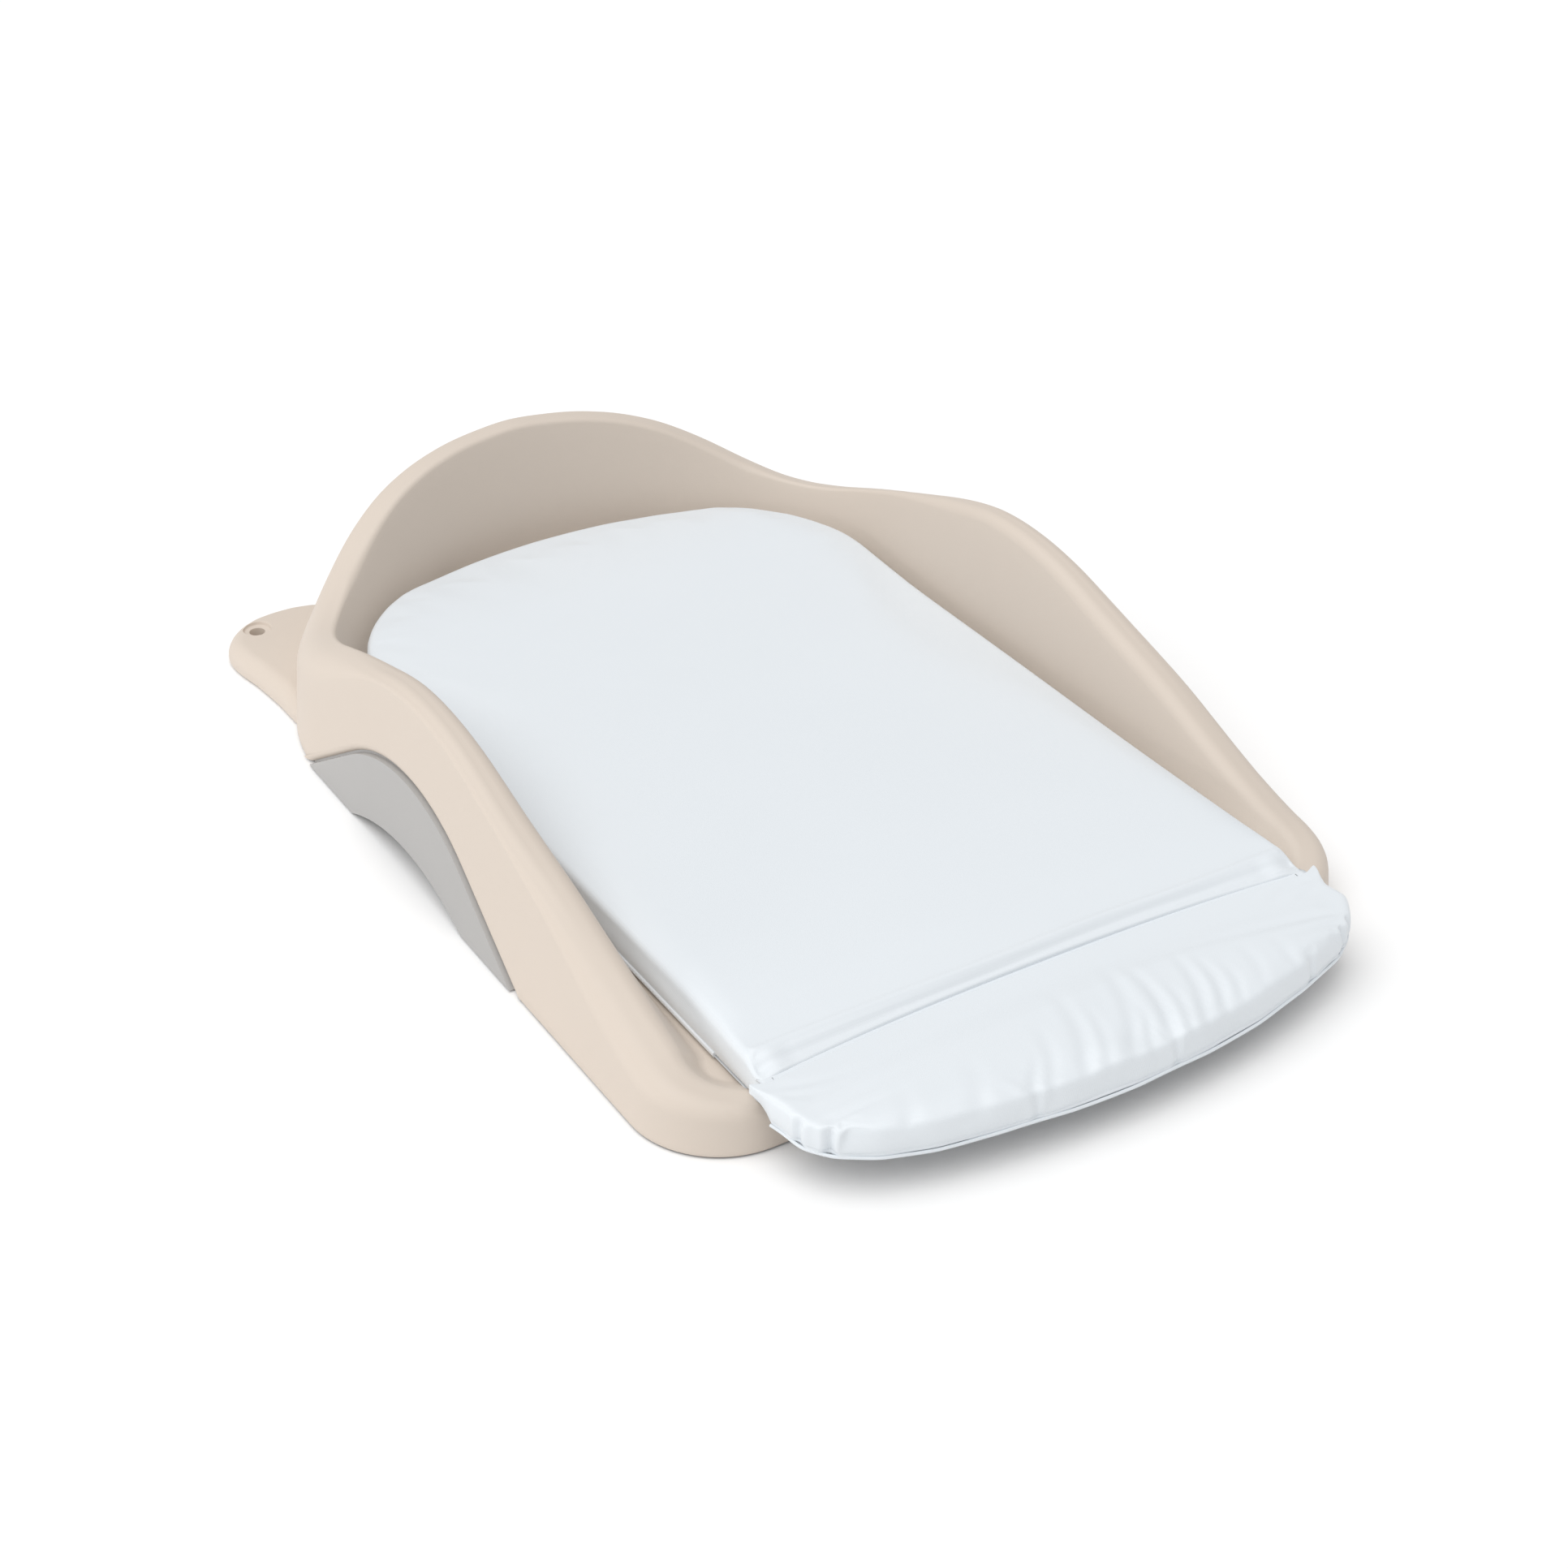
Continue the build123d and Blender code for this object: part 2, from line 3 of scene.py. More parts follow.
import bmesh
import bpy
import numpy as np
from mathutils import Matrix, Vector
from mathutils.geometry import delaunay_2d_cdt


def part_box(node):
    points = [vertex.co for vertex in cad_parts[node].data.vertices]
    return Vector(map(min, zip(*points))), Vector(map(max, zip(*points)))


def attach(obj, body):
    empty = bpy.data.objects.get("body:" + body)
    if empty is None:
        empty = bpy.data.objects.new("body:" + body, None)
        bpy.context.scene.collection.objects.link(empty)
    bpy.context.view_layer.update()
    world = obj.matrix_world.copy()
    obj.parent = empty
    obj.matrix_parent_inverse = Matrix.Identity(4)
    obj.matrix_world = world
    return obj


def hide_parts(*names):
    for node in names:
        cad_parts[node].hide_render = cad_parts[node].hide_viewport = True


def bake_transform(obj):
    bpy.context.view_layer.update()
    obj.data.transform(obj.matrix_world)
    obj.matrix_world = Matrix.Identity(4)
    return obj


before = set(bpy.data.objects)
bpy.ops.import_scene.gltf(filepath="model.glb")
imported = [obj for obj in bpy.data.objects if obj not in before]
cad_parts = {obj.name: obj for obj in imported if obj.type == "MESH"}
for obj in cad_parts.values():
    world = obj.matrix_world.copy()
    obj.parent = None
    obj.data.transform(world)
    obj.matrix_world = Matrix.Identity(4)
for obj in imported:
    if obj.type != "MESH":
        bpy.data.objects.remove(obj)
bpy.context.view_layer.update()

bl_info = {
    "name": "Changing Pad",
    "version": (1, 0, 0),
    "blender": (4, 5, 0),
    "location": "3D View > Sidebar > Changing Pad",
    "description": "Builds a moulded changing pad with a padded mattress and front flap",
    "category": "Add Mesh",
}

# Tables below are in millimetres; MM turns them into metres.
# X runs across, +Y towards the head end, Z up.
MM = 0.001

SHELL_LOW, SHELL_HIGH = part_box("base_shell")
DECK_TOP = 30.0
GROUND_GAP = 1.5
HALF_WIDTH = SHELL_HIGH.x / MM
SHELL_FRONT = SHELL_LOW.y / MM
HEAD_START = 200.0
HEAD_DEPTH = SHELL_HIGH.y / MM - HEAD_START
CORNER = 62.0
SIDE_LEAN = math.tan(math.radians(6.0))
HEAD_LEAN = 0.068

HINGE_Y = -324.0
HINGE_Z = 49.5
BACK_CENTRE_Y = -50.0


# ------------------------------------------------------------------ sizes and colours
class ShellSizes(bpy.types.PropertyGroup):
    """Moulded shell and its side feet"""

    wall: bpy.props.FloatProperty(
        name="Wall", description="Thickness of the moulded wall", default=0.0032, unit="LENGTH")
    rim_round_side: bpy.props.FloatProperty(
        name="Wing Rounding", description="Outer rounding of the wings' rim", default=0.004,
        unit="LENGTH")
    rim_round_nose: bpy.props.FloatProperty(
        name="Nose Rounding", description="Outer rounding where each wing ends", default=0.021,
        unit="LENGTH")
    rim_round_dip: bpy.props.FloatProperty(
        name="Dip Rounding", description="Outer rounding of the low rim between wing and head wall",
        default=0.027, unit="LENGTH")
    rim_round_head: bpy.props.FloatProperty(
        name="Head Rounding", description="Outer rounding of the head wall's rim", default=0.008,
        unit="LENGTH")
    lip_round: bpy.props.FloatProperty(
        name="Lip", description="Rounded lip around each side foot", default=0.0055, unit="LENGTH")
    foot_edge: bpy.props.FloatProperty(
        name="Foot Edge", description="Edge rounding of the side feet", default=0.0012, unit="LENGTH")
    ear_edge: bpy.props.FloatProperty(
        name="Ear Edge", description="Edge rounding of the fixing ears", default=0.0125, unit="LENGTH")
    plastic: bpy.props.FloatVectorProperty(
        name="Shell Plastic", description="Colour of the shell", subtype="COLOR", size=3,
        min=0, max=1, default=(0.66, 0.58, 0.505))
    foot: bpy.props.FloatVectorProperty(
        name="Foot Plastic", description="Colour of the side feet", subtype="COLOR", size=3,
        min=0, max=1, default=(0.41, 0.402, 0.393))


class MattressSizes(bpy.types.PropertyGroup):
    """Lift-out mattress"""

    crown: bpy.props.FloatProperty(
        name="Crown", description="How far the middle stands above the edges", default=0.0022,
        unit="LENGTH")
    ridge: bpy.props.FloatProperty(
        name="Front Ridge", description="Height of the rolled ridge along the front crease",
        default=0.0016, unit="LENGTH")
    seam_bow: bpy.props.FloatProperty(
        name="Seam Bow", description="How far the front seam bows back in its middle",
        default=0.011, unit="LENGTH")
    swell: bpy.props.FloatProperty(
        name="Swell Limit", description="Furthest a point moves in the cloth simulation",
        default=0.0025, unit="LENGTH")
    pressure: bpy.props.FloatProperty(
        name="Pressure", description="Air pressure in the cloth simulation", default=3.0)
    cloth: bpy.props.FloatVectorProperty(
        name="Coated Cloth", description="Colour of the wipe-clean cloth", subtype="COLOR", size=3,
        min=0, max=1, default=(0.76, 0.80, 0.835))


class FlapSizes(bpy.types.PropertyGroup):
    """Padded front flap"""

    thickness: bpy.props.FloatProperty(
        name="Thickness", description="Thickness of the padded flap", default=0.020, unit="LENGTH")
    droop: bpy.props.FloatProperty(
        name="Droop", description="Angle below level as it lies", default=math.radians(3.0),
        subtype="ANGLE")
    swell: bpy.props.FloatProperty(
        name="Swell Limit", description="Furthest a point moves in the cloth simulation",
        default=0.0035, unit="LENGTH")
    pressure: bpy.props.FloatProperty(
        name="Pressure", description="Air pressure in the cloth simulation", default=4.0)
    cord: bpy.props.FloatProperty(
        name="Edge Cord", description="Radius of the fine cord along the lower edge",
        default=0.0011, unit="LENGTH")


class StitchSizes(bpy.types.PropertyGroup):
    """Sewing, zip and ribs"""

    stitch_gap: bpy.props.FloatProperty(
        name="Stitch Spacing", description="Distance from stitch to stitch", default=0.0036,
        unit="LENGTH")
    stitch_length: bpy.props.FloatProperty(
        name="Stitch Length", description="Length of a stitch", default=0.0026, unit="LENGTH")
    thread: bpy.props.FloatProperty(
        name="Thread", description="Thickness of the sewing thread", default=0.0005, unit="LENGTH")
    tooth_gap: bpy.props.FloatProperty(
        name="Coil Pitch", description="Distance between the zip coil's loops", default=0.0014,
        unit="LENGTH")
    rib_thickness: bpy.props.FloatProperty(
        name="Rib", description="Thickness of the ribs under the deck", default=0.0026, unit="LENGTH")
    ribs_across: bpy.props.IntProperty(
        name="Ribs Across", description="Ribs that run from side to side", default=7, min=1)
    ribs_along: bpy.props.IntProperty(
        name="Ribs Along", description="Ribs that run from front to head", default=5, min=1)


SIZE_GROUPS = {
    "pad_shell": ShellSizes,
    "pad_mattress": MattressSizes,
    "pad_flap": FlapSizes,
    "pad_sewing": StitchSizes,
}


# ------------------------------------------------------------------ shader node groups
def new_group(name, inputs, outputs):
    group = bpy.data.node_groups.new(name, "ShaderNodeTree")
    for label, default in inputs:
        socket = group.interface.new_socket(label, in_out="INPUT", socket_type="NodeSocketFloat")
        socket.default_value = default
    for label, kind in outputs:
        group.interface.new_socket(label, in_out="OUTPUT", socket_type=kind)
    return group, group.nodes.new("NodeGroupInput"), group.nodes.new("NodeGroupOutput")


def math_node(nodes, links, operation, a, b):
    node = nodes.new("ShaderNodeMath")
    node.operation = operation
    for socket, value in zip(node.inputs, (a, b)):
        if isinstance(value, (int, float)):
            socket.default_value = value
        else:
            links.new(value, socket)
    return node.outputs[0]


def moulded_grain_group():
    """Fine texture of a spark-eroded mould: small pits over a slow swell."""
    group, entry, exit_ = new_group(
        "moulded_grain", [("Scale", 900.0), ("Pits", 0.6)],
        [("Height", "NodeSocketFloat"), ("Mask", "NodeSocketFloat")])
    nodes, links = group.nodes, group.links
    place = nodes.new("ShaderNodeTexCoord").outputs["Object"]
    fine = nodes.new("ShaderNodeTexNoise")
    fine.inputs["Detail"].default_value = 3.0
    links.new(place, fine.inputs["Vector"])
    links.new(entry.outputs["Scale"], fine.inputs["Scale"])
    pits = nodes.new("ShaderNodeTexVoronoi")
    links.new(place, pits.inputs["Vector"])
    links.new(entry.outputs["Scale"], pits.inputs["Scale"])
    deep = math_node(nodes, links, "MULTIPLY", pits.outputs["Distance"], entry.outputs["Pits"])
    links.new(math_node(nodes, links, "ADD", fine.outputs["Fac"], deep), exit_.inputs["Height"])
    slow = nodes.new("ShaderNodeTexNoise")
    slow.inputs["Scale"].default_value = 6.0
    slow.inputs["Detail"].default_value = 4.0
    links.new(place, slow.inputs["Vector"])
    links.new(slow.outputs["Fac"], exit_.inputs["Mask"])
    return group


def woven_group():
    """Plain weave in three directions, so that it runs over tops and sides alike."""
    group, entry, exit_ = new_group(
        "woven", [("Threads", 1600.0), ("Slub", 0.4)],
        [("Height", "NodeSocketFloat"), ("Mask", "NodeSocketFloat")])
    nodes, links = group.nodes, group.links
    place = nodes.new("ShaderNodeTexCoord").outputs["Object"]
    apart = nodes.new("ShaderNodeSeparateXYZ")
    links.new(place, apart.inputs[0])
    waves = [
        math_node(nodes, links, "SINE",
                  math_node(nodes, links, "MULTIPLY", axis, entry.outputs["Threads"]), 0.0)
        for axis in apart.outputs
    ]
    both = math_node(nodes, links, "MULTIPLY", waves[0], waves[1])
    weave = math_node(nodes, links, "ADD", both, math_node(nodes, links, "MULTIPLY", waves[2], 0.5))
    slub = nodes.new("ShaderNodeTexNoise")
    slub.inputs["Scale"].default_value = 220.0
    slub.inputs["Detail"].default_value = 2.0
    links.new(place, slub.inputs["Vector"])
    rough = math_node(nodes, links, "MULTIPLY", slub.outputs["Fac"], entry.outputs["Slub"])
    links.new(math_node(nodes, links, "ADD", weave, rough), exit_.inputs["Height"])
    slow = nodes.new("ShaderNodeTexNoise")
    slow.inputs["Scale"].default_value = 9.0
    slow.inputs["Detail"].default_value = 3.0
    links.new(place, slow.inputs["Vector"])
    links.new(slow.outputs["Fac"], exit_.inputs["Mask"])
    return group


def handling_group():
    """Slow variation of a colour between two shades, as light soiling and fading give."""
    group = bpy.data.node_groups.new("handling", "ShaderNodeTree")
    for label, kind in (("Colour", "NodeSocketColor"), ("Mask", "NodeSocketFloat"),
                        ("Depth", "NodeSocketFloat")):
        group.interface.new_socket(label, in_out="INPUT", socket_type=kind)
    group.interface.new_socket("Colour", in_out="OUTPUT", socket_type="NodeSocketColor")
    nodes, links = group.nodes, group.links
    entry, exit_ = nodes.new("NodeGroupInput"), nodes.new("NodeGroupOutput")
    darker = nodes.new("ShaderNodeHueSaturation")
    darker.inputs["Value"].default_value = 0.93
    darker.inputs["Saturation"].default_value = 1.04
    links.new(entry.outputs["Colour"], darker.inputs["Color"])
    mix = nodes.new("ShaderNodeMix")
    mix.data_type = "RGBA"
    share = math_node(nodes, links, "MULTIPLY", entry.outputs["Mask"], entry.outputs["Depth"])
    links.new(share, mix.inputs["Factor"])
    links.new(entry.outputs["Colour"], mix.inputs[6])
    links.new(darker.outputs["Color"], mix.inputs[7])
    links.new(mix.outputs[2], exit_.inputs["Colour"])
    return group


SHARED = {"moulded_grain": moulded_grain_group, "woven": woven_group, "handling": handling_group}


def shared_group(name):
    return bpy.data.node_groups.get(name) or SHARED[name]()


# name: (colour, pattern, pattern scale, pattern extra, bump height, roughness low, high, settings)
FINISHES = {
    "shell_plastic": (None, "moulded_grain", 1300.0, 0.5, 0.00007, 0.47, 0.58,
                      {"Specular IOR Level": 0.42}),
    "foot_plastic": (None, "moulded_grain", 1700.0, 0.3, 0.00005, 0.34, 0.46,
                     {"Specular IOR Level": 0.5}),
    "coated_cloth": (None, "woven", 5200.0, 0.5, 0.00003, 0.36, 0.47,
                     {"Sheen Weight": 0.12, "Sheen Roughness": 0.5, "Coat Weight": 0.06,
                      "Coat Roughness": 0.35}),
    "base_cloth": ((0.60, 0.62, 0.64), "woven", 3600.0, 0.8, 0.00008, 0.72, 0.85,
                   {"Sheen Weight": 0.25}),
    "edge_tape": ((0.78, 0.81, 0.84), "woven", 4200.0, 0.6, 0.00007, 0.60, 0.72,
                  {"Sheen Weight": 0.2}),
    "foam": ((0.84, 0.80, 0.62), "moulded_grain", 1500.0, 1.4, 0.0004, 0.9, 0.97, {}),
    "black_rubber": ((0.022, 0.022, 0.024), "moulded_grain", 1100.0, 0.5, 0.00008, 0.62, 0.78, {}),
    "hook_tape": ((0.66, 0.67, 0.68), "woven", 4600.0, 1.6, 0.00045, 0.55, 0.7, {}),
    "loop_tape": ((0.72, 0.73, 0.75), "woven", 2600.0, 2.4, 0.0005, 0.85, 0.95,
                  {"Sheen Weight": 0.5}),
    "zip_cloth": ((0.74, 0.76, 0.79), "woven", 5000.0, 0.5, 0.00010, 0.62, 0.75,
                  {"Sheen Weight": 0.15}),
    "zip_plastic": ((0.78, 0.79, 0.80), "moulded_grain", 2600.0, 0.3, 0.00003, 0.28, 0.38, {}),
    "zip_metal": ((0.62, 0.62, 0.61), "moulded_grain", 3000.0, 0.2, 0.00002, 0.22, 0.34,
                  {"Metallic": 1.0}),
    "screw_steel": ((0.55, 0.56, 0.57), "moulded_grain", 3000.0, 0.2, 0.00002, 0.25, 0.38,
                    {"Metallic": 1.0}),
    "label_cloth": ((0.84, 0.84, 0.82), "woven", 6000.0, 0.4, 0.00005, 0.55, 0.66,
                    {"Sheen Weight": 0.1}),
    "sewing_thread": ((0.80, 0.83, 0.86), "woven", 9000.0, 0.5, 0.00005, 0.5, 0.6,
                      {"Sheen Weight": 0.3}),
}


def finish_of(name):
    """The procedural material for one finish, built the first time it is asked for."""
    if name in bpy.data.materials and bpy.data.materials[name].get("pad_made"):
        return bpy.data.materials[name]
    scene = bpy.context.scene
    colour, pattern, scale, extra, bump, rough_low, rough_high, settings = FINISHES[name]
    own = {
        "shell_plastic": scene.pad_shell.plastic,
        "foot_plastic": scene.pad_shell.foot,
        "coated_cloth": scene.pad_mattress.cloth,
    }
    colour = tuple(own[name]) if colour is None else colour
    material = bpy.data.materials.new(name)
    material["pad_made"] = True
    material.use_nodes = True
    nodes, links = material.node_tree.nodes, material.node_tree.links
    skin = nodes["Principled BSDF"]
    for socket, value in settings.items():
        skin.inputs[socket].default_value = value

    texture = nodes.new("ShaderNodeGroup")
    texture.node_tree = shared_group(pattern)
    texture.inputs[0].default_value = scale
    texture.inputs[1].default_value = extra
    shade = nodes.new("ShaderNodeGroup")
    shade.node_tree = shared_group("handling")
    shade.inputs["Colour"].default_value = (*colour, 1.0)
    shade.inputs["Depth"].default_value = 0.5
    links.new(texture.outputs["Mask"], shade.inputs["Mask"])
    links.new(shade.outputs["Colour"], skin.inputs["Base Color"])

    spread = nodes.new("ShaderNodeMapRange")
    spread.inputs["To Min"].default_value = rough_low
    spread.inputs["To Max"].default_value = rough_high
    links.new(texture.outputs["Mask"], spread.inputs["Value"])
    links.new(spread.outputs["Result"], skin.inputs["Roughness"])

    raised = nodes.new("ShaderNodeBump")
    raised.inputs["Distance"].default_value = bump
    raised.inputs["Strength"].default_value = 0.6
    links.new(texture.outputs["Height"], raised.inputs["Height"])
    links.new(raised.outputs["Normal"], skin.inputs["Normal"])
    return material


# ------------------------------------------------------------------ mesh helpers
def add_object(name, points, faces, finish, smooth=40.0):
    """Mesh object from points in millimetres; doubles merged."""
    mesh = bpy.data.meshes.new(name)
    mesh.from_pydata((np.asarray(points, float) * MM).tolist(), [], faces)
    tidy_mesh(mesh, smooth)
    thing = bpy.data.objects.new(name, mesh)
    bpy.context.scene.collection.objects.link(thing)
    mesh.materials.append(finish_of(finish))
    return thing


def tidy_mesh(mesh, smooth, recalculate=False):
    work = bmesh.new()
    work.from_mesh(mesh)
    bmesh.ops.remove_doubles(work, verts=work.verts, dist=1e-6)
    bmesh.ops.dissolve_degenerate(work, edges=work.edges, dist=1e-7)
    if recalculate:
        bmesh.ops.recalc_face_normals(work, faces=work.faces)
    work.to_mesh(mesh)
    work.free()
    mesh.shade_smooth()
    mesh.set_sharp_from_angle(angle=math.radians(smooth))
    mesh.update()


def bake(thing):
    """Turn the object's modifiers into its mesh."""
    evaluated = thing.evaluated_get(bpy.context.evaluated_depsgraph_get())
    mesh = bpy.data.meshes.new_from_object(evaluated)
    thing.modifiers.clear()
    old = thing.data
    thing.data = mesh
    mesh.name = thing.name
    bpy.data.meshes.remove(old)


def strip_faces(rings, closed):
    """Faces between neighbouring rings of equal length; rings run the same way."""
    count = len(rings[0])
    faces = []
    for r in range(len(rings) - 1):
        for i in range(count if closed else count - 1):
            j = (i + 1) % count
            faces.append((r * count + i, r * count + j, (r + 1) * count + j, (r + 1) * count + i))
    return faces


def flat_fill(loop, spacings):
    """Triangles that fill a closed outline, with inner points on grids.
    spacings is a list of (spacing, y from, y to). The outline's own points come first."""
    loop = np.asarray(loop, float)
    inner = []
    for spacing, y_from, y_to in spacings:
        rows = max(1, int(round((y_to - y_from) / (spacing * 0.87))))
        for r in range(rows):
            y = y_from + (y_to - y_from) * (r + 0.5) / rows
            shift = 0.5 * spacing * (r % 2)
            xs = np.arange(loop[:, 0].min() + shift, loop[:, 0].max(), spacing)
            xs = xs - (xs[0] + xs[-1]) / 2 + shift - spacing / 4
            inner.append(np.column_stack([xs, np.full(len(xs), y), np.full(len(xs), spacing)]))
    inner = np.concatenate(inner)
    after = np.roll(loop, -1, axis=0)
    inside = np.zeros(len(inner), bool)
    for (x1, y1), (x2, y2) in zip(loop, after):
        crosses = (y1 > inner[:, 1]) != (y2 > inner[:, 1])
        reach = x1 + (inner[:, 1] - y1) / ((y2 - y1) or 1e-9) * (x2 - x1)
        inside ^= crosses & (inner[:, 0] < reach)
    inner = inner[inside]
    gap = np.linalg.norm(inner[:, None, :2] - loop[None, :, :], axis=2).min(axis=1)
    inner = inner[gap > 0.6 * inner[:, 2]][:, :2]
    points = [Vector(p) for p in loop.tolist() + inner.tolist()]
    edges = [(i, (i + 1) % len(loop)) for i in range(len(loop))]
    flat, _, faces, _, _, _ = delaunay_2d_cdt(points, edges, [], 1, 1e-6)
    flat = np.array([tuple(p) for p in flat])
    up = []
    for a, b, c in faces:
        (ax, ay), (bx, by), (cx, cy) = flat[a], flat[b], flat[c]
        turn = (bx - ax) * (cy - ay) - (by - ay) * (cx - ax)
        up.append((a, b, c) if turn > 0 else (a, c, b))
    return flat, up


def smooth_table(stations, table, reach):
    """Values of a place/value table at the stations, softened over a reach."""
    places, values = zip(*table)
    fine = np.arange(places[0], places[-1] + 1.0, 1.0)
    line = np.interp(fine, places, values)
    half = int(3 * reach)
    kernel = np.exp(-0.5 * (np.arange(-half, half + 1) / reach) ** 2)
    padded = np.concatenate([line[half:0:-1], line, line[-2:-half - 2:-1]])
    return np.interp(stations, fine, np.convolve(padded, kernel / kernel.sum(), "valid"))


def round_corner(before, corner, after, radius, count, limits=(0.47, 0.47)):
    """Points of a circular rounding in a flat section; limits are shares of the two legs."""
    before, corner, after = (np.array(p, float) for p in (before, corner, after))
    u, v = before - corner, after - corner
    lu, lv = np.linalg.norm(u), np.linalg.norm(v)
    u, v = u / lu, v / lv
    half = 0.5 * math.acos(float(np.clip(u @ v, -0.9999, 0.9999)))
    run = min(radius / math.tan(half), limits[0] * lu, limits[1] * lv)
    start, end, weight = corner + u * run, corner + v * run, math.sin(half)
    points = []
    for i in range(count):
        t = i / (count - 1)
        a, b, c = (1 - t) ** 2, 2 * t * (1 - t) * weight, t * t
        points.append((a * start + b * corner + c * end) / (a + b + c))
    return points


def offset_loop(loop, inset):
    """A closed anticlockwise outline moved in along its normals."""
    loop = np.asarray(loop, float)
    along = np.roll(loop, -1, axis=0) - np.roll(loop, 1, axis=0)
    along /= np.linalg.norm(along, axis=1)[:, None]
    return loop + np.column_stack([-along[:, 1], along[:, 0]]) * np.asarray(inset).reshape(-1, 1)


def even_loop(points, spacing, rounds=0.0):
    """A closed outline resampled at an even spacing, softened over a length."""
    points = np.asarray(points, float)
    ring = np.vstack([points, points[:1]])
    step = np.concatenate([[0], np.cumsum(np.linalg.norm(np.diff(ring, axis=0), axis=1))])
    fine = np.arange(0, step[-1], 0.5)
    line = np.column_stack([np.interp(fine, step, ring[:, k]) for k in (0, 1)])
    if rounds:
        half = int(6 * rounds)
        kernel = np.exp(-0.5 * (np.arange(-half, half + 1) * 0.5 / rounds) ** 2)
        kernel /= kernel.sum()
        line = np.column_stack([
            np.convolve(np.concatenate([line[-half:, k], line[:, k], line[:half, k]]), kernel, "valid")
            for k in (0, 1)
        ])
    count = int(round(step[-1] / spacing))
    return line[np.round(np.linspace(0, len(line), count, endpoint=False)).astype(int)]


def tube(name, path, radius, finish, closed=False, sides=8, flat=1.0):
    """Round or flattened tube along a path of points in millimetres."""
    path = np.asarray(path, float)
    if closed:
        along = np.roll(path, -1, axis=0) - np.roll(path, 1, axis=0)
    else:
        along = np.gradient(path, axis=0)
    along /= np.linalg.norm(along, axis=1)[:, None]
    out = np.cross(along, [0, 0, 1.0])
    out /= np.linalg.norm(out, axis=1)[:, None]
    up = np.cross(out, along)
    angles = 2 * math.pi * np.arange(sides) / sides
    rings = [path + out * radius * math.cos(a) * flat + up * radius * math.sin(a) for a in angles]
    count = len(path)
    points = np.concatenate(rings)
    faces = []
    for k in range(sides):
        m = (k + 1) % sides
        for i in range(count if closed else count - 1):
            j = (i + 1) % count
            faces.append((k * count + i, m * count + i, m * count + j, k * count + j))
    if not closed:
        faces.append([k * count for k in range(sides)][::-1])
        faces.append([k * count + count - 1 for k in range(sides)])
    thing = add_object(name, points, faces, finish, smooth=60.0)
    tidy_mesh(thing.data, 60.0, recalculate=True)
    return thing


def puff(thing, held, pressure, cap):
    """Cloth simulation with air pressure. Held is 1 where a point stays and 0 where it is free;
    free points move at most cap metres."""
    group = thing.vertex_groups.new(name="held")
    group.add(np.nonzero(held >= 1)[0].tolist(), 1.0, "REPLACE")
    rest = np.array([v.co for v in thing.data.vertices])
    cloth = thing.modifiers.new("swell", "CLOTH")
    cloth.settings.vertex_group_mass = "held"
    cloth.settings.quality = 5
    cloth.settings.mass = 0.25
    cloth.settings.tension_stiffness = 20
    cloth.settings.compression_stiffness = 20
    cloth.settings.bending_stiffness = 2
    cloth.settings.use_pressure = True
    cloth.settings.uniform_pressure_force = pressure
    cloth.settings.effector_weights.gravity = 0
    cloth.collision_settings.use_collision = False
    cloth.collision_settings.use_self_collision = False
    cloth.point_cache.frame_start = 1
    cloth.point_cache.frame_end = 20
    scene = bpy.context.scene
    for number in range(1, 21):
        scene.frame_set(number)
    evaluated = thing.evaluated_get(bpy.context.evaluated_depsgraph_get())
    moved = np.array([v.co for v in evaluated.data.vertices]) - rest
    length = np.linalg.norm(moved, axis=1)[:, None]
    moved *= cap * np.tanh(length / cap) / np.maximum(length, 1e-9) * (1 - held[:, None])
    thing.modifiers.remove(cloth)
    thing.vertex_groups.clear()
    scene.frame_set(1)
    thing.data.vertices.foreach_set("co", (rest + moved).astype(np.float32).ravel())
    thing.data.update()


def fold_at(x, y, fold):
    """Height of one soft fold at the places x, y: a groove with a low ridge each side."""
    x1, y1, x2, y2, depth, width = fold
    dx, dy = x2 - x1, y2 - y1
    long = math.hypot(dx, dy)
    t = ((x - x1) * dx + (y - y1) * dy) / long ** 2
    across = ((x - x1) * dy - (y - y1) * dx) / long
    bend = across - 0.06 * long * np.sin(math.pi * np.clip(t, 0, 1))
    fade = np.clip(t + 0.15, 0, 1) ** 0.5 * np.clip(1.15 - t, 0, 1) ** 1.3
    q = (bend / width) ** 2
    return -depth * fade * (1 - 0.9 * q) * np.exp(-0.5 * q)


# ------------------------------------------------------------------ geometry node trees
def node_tree(name, inputs):
    tree = bpy.data.node_groups.new(name, "GeometryNodeTree")
    tree.interface.new_socket("Geometry", in_out="INPUT", socket_type="NodeSocketGeometry")
    for label, kind in inputs:
        tree.interface.new_socket(label, in_out="INPUT", socket_type=kind)
    tree.interface.new_socket("Geometry", in_out="OUTPUT", socket_type="NodeSocketGeometry")
    return tree, tree.nodes.new("NodeGroupInput"), tree.nodes.new("NodeGroupOutput")


def finish_tree(tree, entry, exit_, geometry):
    realize = tree.nodes.new("GeometryNodeRealizeInstances")
    paint = tree.nodes.new("GeometryNodeSetMaterial")
    smooth = tree.nodes.new("GeometryNodeSetShadeSmooth")
    tree.links.new(geometry, realize.inputs[0])
    tree.links.new(realize.outputs[0], smooth.inputs[0])
    tree.links.new(smooth.outputs[0], paint.inputs["Geometry"])
    tree.links.new(entry.outputs["Material"], paint.inputs["Material"])
    tree.links.new(paint.outputs[0], exit_.inputs[0])


